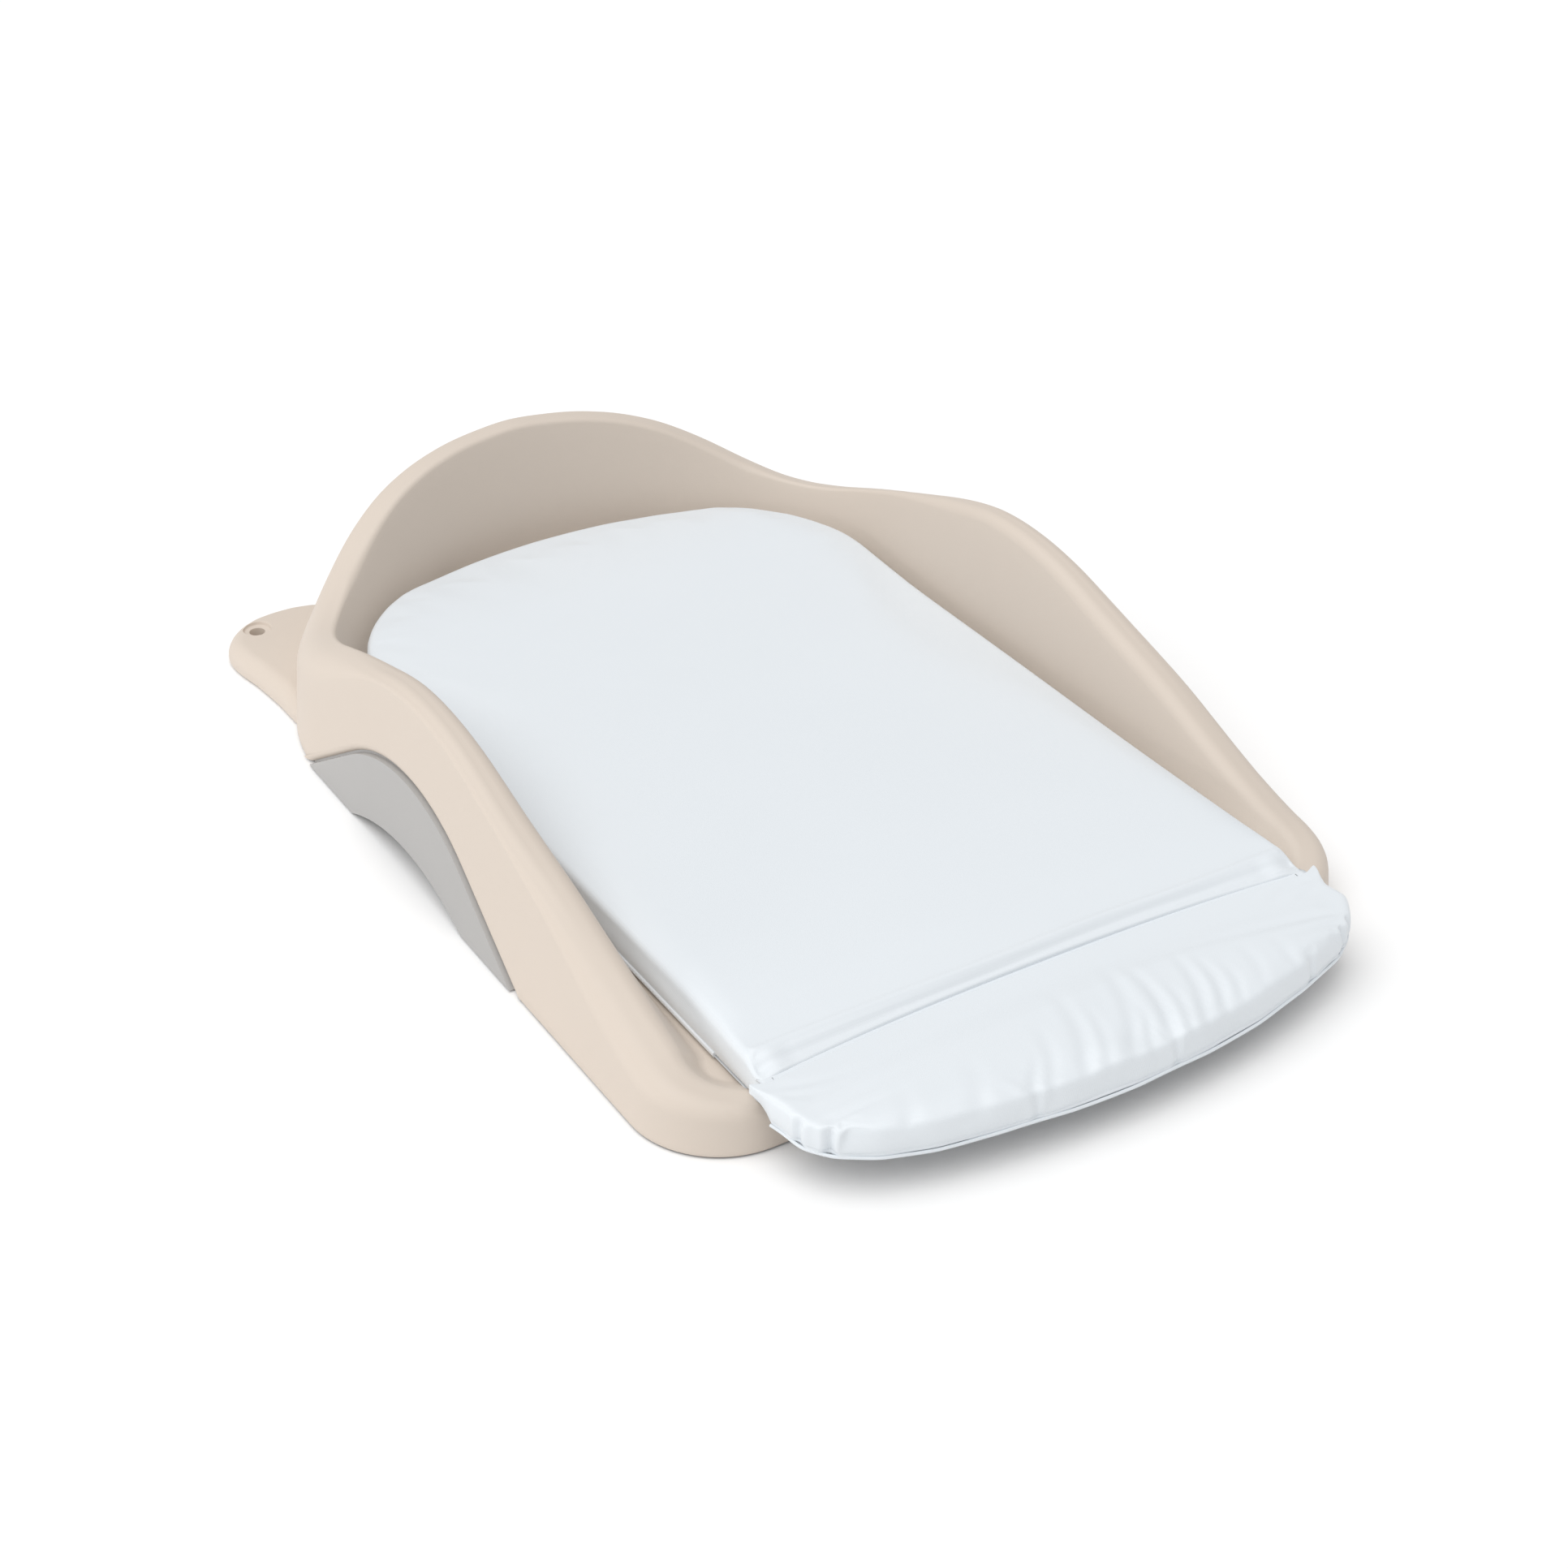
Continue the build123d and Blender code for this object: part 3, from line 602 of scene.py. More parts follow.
def row_tree():
    """Small rounded pieces in a row along a path: stitches, or the loops of a zip coil."""
    if "row_along_path" in bpy.data.node_groups:
        return bpy.data.node_groups["row_along_path"]
    tree, entry, exit_ = node_tree("row_along_path", [
        ("Spacing", "NodeSocketFloat"), ("Length", "NodeSocketFloat"),
        ("Width", "NodeSocketFloat"), ("Height", "NodeSocketFloat"),
        ("Material", "NodeSocketMaterial")])
    nodes, links = tree.nodes, tree.links
    curve = nodes.new("GeometryNodeMeshToCurve")
    row = nodes.new("GeometryNodeCurveToPoints")
    row.mode = "LENGTH"
    turn = nodes.new("FunctionNodeAlignRotationToVector")
    turn.axis = "X"
    bead = nodes.new("GeometryNodeMeshUVSphere")
    bead.inputs["Segments"].default_value = 6
    bead.inputs["Rings"].default_value = 4
    bead.inputs["Radius"].default_value = 0.5
    size = nodes.new("ShaderNodeCombineXYZ")
    shaped = nodes.new("GeometryNodeTransform")
    placed = nodes.new("GeometryNodeInstanceOnPoints")
    links.new(entry.outputs["Geometry"], curve.inputs[0])
    links.new(curve.outputs[0], row.inputs["Curve"])
    links.new(entry.outputs["Spacing"], row.inputs["Length"])
    links.new(row.outputs["Tangent"], turn.inputs["Vector"])
    for label, axis in (("Length", 0), ("Width", 1), ("Height", 2)):
        links.new(entry.outputs[label], size.inputs[axis])
    links.new(bead.outputs["Mesh"], shaped.inputs["Geometry"])
    links.new(size.outputs[0], shaped.inputs["Scale"])
    links.new(row.outputs["Points"], placed.inputs["Points"])
    links.new(shaped.outputs[0], placed.inputs["Instance"])
    links.new(turn.outputs[0], placed.inputs["Rotation"])
    finish_tree(tree, entry, exit_, placed.outputs[0])
    return tree


def rib_tree():
    """Two rows of upright bars whose ends follow a straight-sided plan with a half-ellipse head."""
    tree, entry, exit_ = node_tree("deck_rib_grid", [
        ("Half Width", "NodeSocketFloat"), ("Front", "NodeSocketFloat"),
        ("Head Start", "NodeSocketFloat"), ("Head Depth", "NodeSocketFloat"),
        ("Bottom", "NodeSocketFloat"), ("Top", "NodeSocketFloat"),
        ("Thickness", "NodeSocketFloat"), ("Across", "NodeSocketInt"), ("Along", "NodeSocketInt"),
        ("Material", "NodeSocketMaterial")])
    nodes, links = tree.nodes, tree.links

    def calc(operation, a, b=0.0):
        return math_node(nodes, links, operation, a, b)

    def joined(x, y, z):
        node = nodes.new("ShaderNodeCombineXYZ")
        for socket, value in zip(node.inputs, (x, y, z)):
            if isinstance(value, (int, float)):
                socket.default_value = value
            else:
                links.new(value, socket)
        return node.outputs[0]

    get = entry.outputs
    length = calc("ADD", calc("SUBTRACT", get["Head Start"], get["Front"]), get["Head Depth"])
    tall = calc("SUBTRACT", get["Top"], get["Bottom"])
    middle_z = calc("MULTIPLY", calc("ADD", get["Top"], get["Bottom"]), 0.5)
    rows = nodes.new("GeometryNodeJoinGeometry")
    for across in (True, False):
        count = get["Across"] if across else get["Along"]
        line = nodes.new("GeometryNodeMeshLine")
        links.new(count, line.inputs["Count"])
        if across:
            step = calc("DIVIDE", length, calc("ADD", count, 1.0))
            links.new(joined(0.0, calc("ADD", get["Front"], step), middle_z),
                      line.inputs["Start Location"])
            links.new(joined(0.0, step, 0.0), line.inputs["Offset"])
        else:
            step = calc("DIVIDE", calc("MULTIPLY", get["Half Width"], 2.0), calc("ADD", count, 0.2))
            first = calc("MULTIPLY", calc("MULTIPLY", step, calc("SUBTRACT", count, 1.0)), -0.5)
            links.new(joined(first, get["Front"], middle_z), line.inputs["Start Location"])
            links.new(joined(step, 0.0, 0.0), line.inputs["Offset"])
        here = nodes.new("ShaderNodeSeparateXYZ")
        links.new(nodes.new("GeometryNodeInputPosition").outputs[0], here.inputs[0])
        if across:
            past = calc("MAXIMUM", calc("SUBTRACT", here.outputs["Y"], get["Head Start"]), 0.0)
            share = calc("DIVIDE", past, get["Head Depth"])
            span = get["Half Width"]
        else:
            share = calc("DIVIDE", here.outputs["X"], get["Half Width"])
            span = get["Head Depth"]
        left = calc("SQRT", calc("MAXIMUM", calc("SUBTRACT", 1.0, calc("MULTIPLY", share, share)), 0.0))
        reach = calc("MULTIPLY", span, left)
        bar = nodes.new("GeometryNodeMeshCube")
        if across:
            size = joined(calc("MULTIPLY", reach, 2.0), get["Thickness"], tall)
            start = joined(0.0, 0.0, 0.0)
        else:
            run = calc("ADD", calc("SUBTRACT", get["Head Start"], get["Front"]), reach)
            size = joined(get["Thickness"], run, tall)
            start = joined(0.0, calc("MULTIPLY", run, 0.5), 0.0)
        placed = nodes.new("GeometryNodeInstanceOnPoints")
        links.new(bar.outputs[0], placed.inputs["Instance"])
        moved = nodes.new("GeometryNodeSetPosition")
        links.new(start, moved.inputs["Offset"])
        keep = nodes.new("GeometryNodeCaptureAttribute")
        keep.capture_items.new("VECTOR", "Size")
        links.new(line.outputs[0], keep.inputs["Geometry"])
        links.new(size, keep.inputs[1])
        links.new(keep.outputs[0], moved.inputs["Geometry"])
        links.new(moved.outputs[0], placed.inputs["Points"])
        links.new(keep.outputs[1], placed.inputs["Scale"])
        links.new(placed.outputs[0], rows.inputs[0])
    finish_tree(tree, entry, exit_, rows.outputs[0])
    return tree


def grown(name, points, edges, tree, values, finish, body):
    """A plain mesh grown by a geometry node tree on a path, riding on a body."""
    mesh = bpy.data.meshes.new(name)
    mesh.from_pydata((np.asarray(points, float) * MM).tolist(), edges, [])
    thing = bpy.data.objects.new(name, mesh)
    bpy.context.scene.collection.objects.link(thing)
    grower = thing.modifiers.new("grow", "NODES")
    grower.node_group = tree
    values = dict(values, Material=finish_of(finish))
    for item in tree.interface.items_tree:
        if item.in_out == "INPUT" and item.name in values:
            grower[item.identifier] = values[item.name]
    bake(thing)
    if not thing.data.materials:
        thing.data.materials.append(finish_of(finish))
    if not thing.data.polygons:
        raise RuntimeError(f"{name}: the node tree made nothing")
    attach(thing, body)
    return thing


def path_edges(count, closed):
    return [(i, (i + 1) % count) for i in range(count if closed else count - 1)]


# ------------------------------------------------------------------ shell shape
FRONT_END = HALF_WIDTH - CORNER
CORNER_END = FRONT_END + CORNER * math.pi / 2
SIDE_END = CORNER_END + HEAD_START - (SHELL_FRONT + CORNER)
HEAD_ANGLES = np.linspace(0, math.pi / 2, 721)
HEAD_X = HALF_WIDTH * np.cos(HEAD_ANGLES)
HEAD_Y = HEAD_START + HEAD_DEPTH * np.sin(HEAD_ANGLES)
HEAD_RUN = SIDE_END + np.concatenate(
    [[0], np.cumsum(np.hypot(np.diff(HEAD_X), np.diff(HEAD_Y)))])
OUTLINE_END = float(HEAD_RUN[-1])


def along_front(x):
    return x


def along_corner(degrees):
    return FRONT_END + CORNER * math.radians(degrees)


def along_side(y):
    return CORNER_END + y - (SHELL_FRONT + CORNER)


def along_head(degrees):
    return float(np.interp(math.radians(degrees), HEAD_ANGLES, HEAD_RUN))


RIM_HEIGHTS = [
    (along_front(0), 30), (along_front(150), 30), (along_front(190), 31),
    (along_corner(45), 39), (along_side(-263), 47.5), (along_side(-240), 54),
    (along_side(-190), 71), (along_side(-138), 90.5), (along_side(-77), 107.5),
    (along_side(-17), 126), (along_side(15), 132), (along_side(45), 134),
    (along_side(75), 132.5), (along_side(95), 128.5), (along_side(134), 118),
    (along_side(177), 104), (along_side(200), 95.5),
    (along_head(11), 84), (along_head(20), 75.5), (along_head(28), 72), (along_head(36), 74),
    (along_head(45), 84), (along_head(53.7), 99.5), (along_head(61.5), 113),
    (along_head(69.3), 123), (along_head(77.5), 129.5), (along_head(90), 134),
]
INNER_CREASE = [
    (along_front(0), 13), (along_front(170), 14), (along_corner(30), 22), (along_corner(90), 32),
    (along_side(-200), 34), (along_head(30), 34), (along_head(60), 30), (along_head(90), 29),
]
DECK_EDGE = [
    (along_front(0), 28), (along_front(170), 29), (along_corner(30), 36), (along_corner(90), 50),
    (along_side(-200), 53), (along_head(90), 53),
]
NOSE_SHARE = [
    (along_front(0), 0.6), (along_corner(0), 0.8), (along_corner(60), 1.0), (along_side(-230), 1.0),
    (along_side(-150), 0.35), (along_side(-90), 0.0), (along_head(90), 0.0),
]
DIP_SHARE = [
    (along_front(0), 0), (along_side(120), 0), (along_side(180), 0.7), (along_head(12), 1.0),
    (along_head(36), 1.0), (along_head(52), 0.2), (along_head(60), 0), (along_head(90), 0),
]
HEAD_SHARE = [
    (along_front(0), 0), (along_head(45), 0), (along_head(60), 1), (along_head(90), 1),
]
OUTER_DROP = [
    (along_front(0), 0), (along_corner(45), 4), (along_side(-240), 6.5), (along_side(-130), 6.0),
    (along_side(-20), 5.5), (along_side(120), 5.5), (along_side(190), 7.5), (along_head(32), 8.0),
    (along_head(50), 3.0), (along_head(62), 0.8), (along_head(90), 0.0),
]
TOP_SWELL = [
    (along_front(0), 0), (along_side(-200), 0), (along_side(-90), 1.1), (along_side(100), 1.1),
    (along_side(170), 0), (along_head(90), 0),
]
INNER_ROUNDING = [
    (along_front(0), 10), (along_side(-60), 11), (along_side(150), 11), (along_head(30), 9),
    (along_head(60), 4.5), (along_head(90), 4.5),
]


def outline_at(stations):
    """Places and outward directions on the right half of the skirt's foot line."""
    x, y, nx, ny = (np.zeros(len(stations)) for _ in range(4))
    front = stations <= FRONT_END
    x[front], y[front], ny[front] = stations[front], SHELL_FRONT, -1
    corner = (stations > FRONT_END) & (stations <= CORNER_END)
    a = (stations[corner] - FRONT_END) / CORNER - math.pi / 2
    x[corner] = FRONT_END + CORNER * np.cos(a)
    y[corner] = SHELL_FRONT + CORNER + CORNER * np.sin(a)
    nx[corner], ny[corner] = np.cos(a), np.sin(a)
    side = (stations > CORNER_END) & (stations <= SIDE_END)
    x[side], nx[side] = HALF_WIDTH, 1
    y[side] = SHELL_FRONT + CORNER + stations[side] - CORNER_END
    head = stations > SIDE_END
    a = np.interp(stations[head], HEAD_RUN, HEAD_ANGLES)
    x[head], y[head] = HALF_WIDTH * np.cos(a), HEAD_START + HEAD_DEPTH * np.sin(a)
    px, py = np.cos(a) / HALF_WIDTH, np.sin(a) / HEAD_DEPTH
    nx[head], ny[head] = px / np.hypot(px, py), py / np.hypot(px, py)
    x[0] = x[-1] = nx[0] = nx[-1] = 0.0
    return x, y, nx, ny


def shell_sections(sizes):
    """For each station on the right half: the section's (inset, height) points."""
    count = int(OUTLINE_END / 4.6)
    stations = np.linspace(0, OUTLINE_END, count)
    height = smooth_table(stations, RIM_HEIGHTS, 11)
    crease = smooth_table(stations, INNER_CREASE, 14)
    deck = smooth_table(stations, DECK_EDGE, 14)
    nose = smooth_table(stations, NOSE_SHARE, 14)
    dip = smooth_table(stations, DIP_SHARE, 14)
    head = smooth_table(stations, HEAD_SHARE, 14)
    drop = smooth_table(stations, OUTER_DROP, 14)
    swell = smooth_table(stations, TOP_SWELL, 14)
    inner_round = smooth_table(stations, INNER_ROUNDING, 14)
    lean = np.interp(stations, [SIDE_END, along_head(60)], [SIDE_LEAN, HEAD_LEAN])
    side_round = sizes.rim_round_side / MM
    outer_round = side_round + nose * (sizes.rim_round_nose / MM - side_round)
    outer_round += dip * (sizes.rim_round_dip / MM - side_round)
    outer_round += head * (sizes.rim_round_head / MM - side_round)
    sections = []
    for i in range(count):
        outer_z = height[i] - drop[i]
        a = (0.0, GROUND_GAP)
        b = ((outer_z - GROUND_GAP) * lean[i], outer_z)
        c = (crease[i], height[i])
        d = (deck[i], DECK_TOP)
        e = (deck[i] + 9.0, DECK_TOP)
        share = 0.47 + 0.36 * dip[i]
        outer = round_corner(a, b, c, outer_round[i], 9, (0.47, share))
        inner = round_corner(b, c, d, inner_round[i], 8, (0.93 - share, 0.47))
        across = inner[0] - outer[-1]
        normal = np.array([-across[1], across[0]]) / np.linalg.norm(across)
        top = [outer[-1] + across * t + normal * swell[i] * math.sin(math.pi * t)
               for t in (0.2, 0.4, 0.6, 0.8)]
        heel = round_corner(c, d, e, 11.0, 6)
        foot = [np.array([1.0, GROUND_GAP]), np.array([0.3, GROUND_GAP + 0.25]),
                np.array([0.05, GROUND_GAP + 1.0])]
        wall = [foot[-1] + (outer[0] - foot[-1]) * k / 9 for k in range(1, 9)]
        slope = [inner[-1] + (heel[0] - inner[-1]) * k / 7 for k in range(1, 7)]
        sections.append(foot + wall + outer + top + inner + slope + heel + [np.array(e)])
    return stations, np.array(sections)


def bell_path(outset, count=73, low=-6.0):
    """The side opening's bell outline in (y, z), moved out, from its front foot to its head foot."""
    front, apex, back, crown = (-109.0, 0.0), (58.0, 98.0), (213.0, 0.0), 164.0
    u1 = np.subtract(apex, front) / np.linalg.norm(np.subtract(apex, front))
    u2 = np.subtract(back, apex) / np.linalg.norm(np.subtract(back, apex))
    n1, n2 = np.array([-u1[1], u1[0]]), np.array([-u2[1], u2[0]])
    half = 0.5 * math.acos(float(n1 @ n2))
    centre = np.array(apex) - (n1 + n2) / np.linalg.norm(n1 + n2) * crown / math.cos(half)
    radius = crown + outset
    a1, a2 = math.atan2(n1[1], n1[0]), math.atan2(n2[1], n2[0])
    arc = [centre + radius * np.array([math.cos(a), math.sin(a)])
           for a in np.linspace(a1, a2, count // 3)]
    first = arc[0] - u1 * (arc[0][1] - low) / u1[1]
    last = arc[-1] - u2 * (arc[-1][1] - low) / u2[1]
    legs = count // 3
    rise = [first + (arc[0] - first) * k / legs for k in range(legs)]
    fall = [arc[-1] + (last - arc[-1]) * k / legs for k in range(1, legs + 1)]
    return np.array(rise + arc + fall)


def on_skirt(path, depth, side):
    """Points of a (y, z) path on the leaning skirt, moved into the shell by depth."""
    x = HALF_WIDTH - (path[:, 1] - GROUND_GAP) * SIDE_LEAN - depth
    return np.column_stack([side * x, path[:, 0], path[:, 1]])


FOOT_GAP = 1.3            # between each side foot and the lip around it
EAR_TOP = 18.0
EAR_HOLE = (228, 388.5)
# radius, height of the ear hole's cutter, from above down: counterbore, step, hole
EAR_HOLE_PROFILE = [
    (0, 25), (12.6, 25), (11.6, 18.2), (10.9, 17.6), (10.4, 16.8), (10.2, 15.6), (9.7, 15.1),
    (9.0, 15.0), (6.6, 15.0), (6.0, 14.8), (5.8, 14.2), (5.8, -5), (0, -5),
]
# radius, height of the columns that hold the rubber pads under the deck
COLUMN_PROFILE = [(0.5, 3.6), (12.0, 3.6), (12.4, 1.7), (13.6, 1.6), (15.0, 2.4), (15.0, 27.5),
                  (0.5, 27.5)]
COLUMN_PLACES = ((175, -285), (-175, -285), (135, 285), (-135, 285))


def make_cutter(name, points, faces):
    mesh = bpy.data.meshes.new(name)
    mesh.from_pydata((np.asarray(points, float) * MM).tolist(), [], faces)
    tidy_mesh(mesh, 30.0, recalculate=True)
    cutter = bpy.data.objects.new(name, mesh)
    bpy.context.scene.collection.objects.link(cutter)
    return cutter


def cut_away(thing, cutter):
    cut = thing.modifiers.new("cut", "BOOLEAN")
    cut.operation = "DIFFERENCE"
    cut.solver = "EXACT"
    cut.object = cutter
    bpy.context.view_layer.update()
    bake(thing)
    bpy.data.objects.remove(cutter)


FLOOR_HALF = 9.0
# name, kind, place, angle or height, power, colour
LIGHTS = (
    ("overhead", "SUN", (-0.55, -0.1, 1.6), math.radians(70), 1.85, (1.0, 1.0, 1.0)),
    ("low_side", "AREA", (-2.3, 0.4, 0.24), 0.34, 8.0, (1.0, 0.985, 0.97)),
)
LOW_SIDE_LENGTH = 2.2
CAMERA_PLACE, CAMERA_TARGET = (-0.8477, -1.3849, 1.0535), (0.0146, 0.0112, 0.0)
CAMERA_LENS = 62.9


def turned_rings(x, y, profile, count):
    """Rings of a round shape about an upright axis, from its (radius, height) profile."""
    around = np.linspace(0, 2 * math.pi, count, endpoint=False)
    return [np.column_stack([x + r * np.cos(around), y + r * np.sin(around), np.full(count, z)])
            for r, z in profile]


class PAD_OT_stage(bpy.types.Operator):
    """Floor, lights and camera"""

    bl_idname = "pad.stage"
    bl_label = "Stage"

    def execute(self, context):
        scene = context.scene
        scene.view_settings.view_transform = "Standard"
        side = FLOOR_HALF
        mesh = bpy.data.meshes.new("floor")
        mesh.from_pydata([(-side, -side, 0), (side, -side, 0), (side, side, 0), (-side, side, 0)],
                         [], [(0, 1, 2, 3)])
        floor = bpy.data.objects.new("floor", mesh)
        scene.collection.objects.link(floor)
        paint = bpy.data.materials.new("pale_floor")
        paint.use_nodes = True
        skin = paint.node_tree.nodes["Principled BSDF"]
        skin.inputs["Base Color"].default_value = (0.95, 0.95, 0.95, 1)
        skin.inputs["Roughness"].default_value = 0.8
        skin.inputs["Specular IOR Level"].default_value = 0.1
        mesh.materials.append(paint)

        world = bpy.data.worlds.new("studio")
        world.use_nodes = True
        nodes, links = world.node_tree.nodes, world.node_tree.links
        lit = nodes["Background"]
        lit.inputs["Color"].default_value = (1.0, 1.0, 1.0, 1)
        lit.inputs["Strength"].default_value = 0.54
        seen = nodes.new("ShaderNodeBackground")
        seen.inputs["Color"].default_value = (1.0, 1.0, 1.0, 1)
        seen.inputs["Strength"].default_value = 1.0
        either = nodes.new("ShaderNodeMixShader")
        links.new(nodes.new("ShaderNodeLightPath").outputs["Is Camera Ray"], either.inputs["Fac"])
        links.new(lit.outputs[0], either.inputs[1])
        links.new(seen.outputs[0], either.inputs[2])
        links.new(either.outputs[0], nodes["World Output"].inputs["Surface"])
        scene.world = world

        for name, kind, place, spread, power, colour in LIGHTS:
            light = bpy.data.lights.new(name, kind)
            light.energy, light.color = power, colour
            if kind == "SUN":
                light.angle = spread
            else:
                light.shape, light.size, light.size_y = "RECTANGLE", LOW_SIDE_LENGTH, spread
            lamp = bpy.data.objects.new(name, light)
            scene.collection.objects.link(lamp)
            lamp.location = place
            lamp.rotation_euler = (-Vector(place)).to_track_quat("-Z", "Y").to_euler()

        camera = bpy.data.objects.new("camera", bpy.data.cameras.new("camera"))
        scene.collection.objects.link(camera)
        camera.data.lens, camera.data.sensor_width = CAMERA_LENS, 36.0
        place, target = Vector(CAMERA_PLACE), Vector(CAMERA_TARGET)
        camera.location = place
        camera.rotation_euler = (target - place).to_track_quat("-Z", "Y").to_euler()
        scene.camera = camera
        return {"FINISHED"}


class PAD_OT_shell(bpy.types.Operator):
    """Moulded shell with its wings, head wall, deck and side openings"""

    bl_idname = "pad.shell"
    bl_label = "Shell"

    def execute(self, context):
        sizes = context.scene.pad_shell
        stations, sections = shell_sections(sizes)
        x, y, nx, ny = outline_at(stations)
        rings = []
        for k in range(sections.shape[1]):
            t, z = sections[:, k, 0], sections[:, k, 1]
            right = np.column_stack([x - nx * t, y - ny * t, z])
            left = right[1:-1][::-1] * [-1, 1, 1]
            rings.append(np.vstack([right, left]))
        points = np.concatenate(rings)
        faces = strip_faces(rings, True)
        flat, fill = flat_fill(rings[-1][:, :2], [(16.0, -290.0, 360.0)])
        base = len(points)
        points = np.vstack([points, np.column_stack([flat, np.full(len(flat), DECK_TOP)])])
        faces += [tuple(base + i for i in face) for face in fill]
        shell = add_object("shell_moulding", points, faces, "shell_plastic", smooth=50.0)
        thick = shell.modifiers.new("wall", "SOLIDIFY")
        thick.thickness = sizes.wall
        thick.offset = -1.0
        bake(shell)

        lip = sizes.lip_round / MM
        gap = FOOT_GAP
        for side in (1, -1):
            path = bell_path(gap + lip - 0.03)
            ends = [on_skirt(path, depth, side) for depth in (7.5, -20.0)]
            faces = strip_faces(ends, True)
            total = len(path)
            faces += [tuple(range(total)), tuple(range(total, 2 * total))]
            cut_away(shell, make_cutter("opening", np.concatenate(ends), faces))

        parts = [shell]
        for side in (1, -1):
            turns = np.radians(np.linspace(0, 90, 8))
            profile = [(gap + lip - lip * math.sin(a), lip - lip * math.cos(a)) for a in turns]
            profile.append((gap, lip + 1.0))
            strips = [on_skirt(bell_path(d, low=GROUND_GAP), depth, side) for d, depth in profile]
            faces = strip_faces(strips, False)
            if side > 0:
                faces = [face[::-1] for face in faces]
            parts.append(add_object(f"lip_{side}", np.concatenate(strips), faces, "shell_plastic",
                                    smooth=60.0))
        join_into(parts)
        shell.data.set_sharp_from_angle(angle=math.radians(38.0))
        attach(shell, "shell")
        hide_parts("base_shell")
        return {"FINISHED"}


def join_into(parts):
    """Add the other parts' meshes to the first and drop them."""
    target = parts[0]
    work = bmesh.new()
    work.from_mesh(target.data)
    for part in parts[1:]:
        work.from_mesh(part.data)
        bpy.data.objects.remove(part)
    work.to_mesh(target.data)
    work.free()
    target.data.shade_smooth()
    return target


EAR_OUTLINE = [
    (150, 262), (249, 262), (249.5, 297), (251, 316), (253, 335), (256, 350), (257.5, 364),
    (257, 377), (253.5, 386), (246.5, 396), (236, 405), (223, 411), (207, 413.5), (190, 413.5),
    (172, 409), (158, 398), (150, 335),
]


class PAD_OT_ears(bpy.types.Operator):
    """Two flat fixing ears behind the head corners"""

    bl_idname = "pad.ears"
    bl_label = "Fixing Ears"

    def execute(self, context):
        edge = context.scene.pad_shell.ear_edge / MM
        top = EAR_TOP
        ears = []
        for side in (1, -1):
            loop = even_loop(EAR_OUTLINE, 3.0, rounds=3.5)
            turns = np.radians(np.linspace(0, 90, 9))
            rings = [(1.0, GROUND_GAP), (0.2, GROUND_GAP + 0.6)]
            rings += [(edge - edge * math.cos(a), top - edge + edge * math.sin(a)) for a in turns]
            loops = [np.column_stack([offset_loop(loop, t), np.full(len(loop), z)]) for t, z in rings]
            points, faces = np.concatenate(loops), strip_faces(loops, True)
            for ring, flip in ((loops[-1], False), (loops[0], True)):
                flat, fill = flat_fill(ring[:, :2], [(9.0, 255.0, 420.0)])
                base = len(points)
                points = np.vstack([points, np.column_stack([flat, np.full(len(flat), ring[0, 2])])])
                faces += [tuple(base + i for i in (face[::-1] if flip else face)) for face in fill]
            points = points * [side, 1, 1]
            if side < 0:
                faces = [face[::-1] for face in faces]
            ear = add_object(f"ear_{side}", points, faces, "shell_plastic")
            rings = turned_rings(side * EAR_HOLE[0], EAR_HOLE[1], EAR_HOLE_PROFILE, 40)
            cut_away(ear, make_cutter("ear_hole", np.concatenate(rings), strip_faces(rings, True)))
            ears.append(ear)
        join_into(ears)
        ears[0].name = "fixing_ears"
        ears[0].data.set_sharp_from_angle(angle=math.radians(38.0))
        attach(ears[0], "shell")
        return {"FINISHED"}


class PAD_OT_ribs(bpy.types.Operator):
    """Rib grid and the columns under the deck"""

    bl_idname = "pad.ribs"
    bl_label = "Deck Ribs"

    def execute(self, context):
        sizes = context.scene.pad_sewing
        front = (SHELL_FRONT + 4.4) * MM
        grown("deck_ribs", [(0, 0, 20)], [], rib_tree(), {
            "Half Width": 0.209, "Front": front, "Head Start": HEAD_START * MM, "Head Depth": 0.160,
            "Bottom": 0.0158, "Top": 0.0275, "Thickness": sizes.rib_thickness,
            "Across": sizes.ribs_across, "Along": sizes.ribs_along,
        }, "shell_plastic", "shell")
        points, faces = [], []
        for cx, cy in COLUMN_PLACES:
            rings = turned_rings(cx, cy, COLUMN_PROFILE, 36)
            base = len(points)
            points.extend(np.concatenate(rings).tolist())
            faces += [tuple(base + i for i in face) for face in strip_faces(rings, True)]
        columns = add_object("deck_columns", points, faces, "shell_plastic", smooth=35.0)
        tidy_mesh(columns.data, 35.0, recalculate=True)
        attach(columns, "shell")
        return {"FINISHED"}


def eased_copy(node, name, edge, finish, body, angle=30.0):
    """A CAD node's shape with its edges eased, in its own piece."""
    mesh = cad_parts[node].data.copy()
    thing = bpy.data.objects.new(name, mesh)
    bpy.context.scene.collection.objects.link(thing)
    mesh.materials.clear()
    mesh.materials.append(finish_of(finish))
    work = bmesh.new()
    work.from_mesh(mesh)
    bmesh.ops.remove_doubles(work, verts=work.verts, dist=2e-6)
    bmesh.ops.dissolve_limit(work, angle_limit=math.radians(0.6), verts=work.verts, edges=work.edges)
    for face in work.faces:
        face.smooth = True
    work.to_mesh(mesh)
    work.free()
    ease = thing.modifiers.new("ease", "BEVEL")
    ease.width = edge
    ease.segments = 3
    ease.limit_method = "ANGLE"
    ease.angle_limit = math.radians(angle)
    ease.harden_normals = False
    bake(thing)
    thing.data.shade_smooth()
    thing.data.set_sharp_from_angle(angle=math.radians(35.0))
    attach(thing, body)
    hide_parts(node)
    return thing


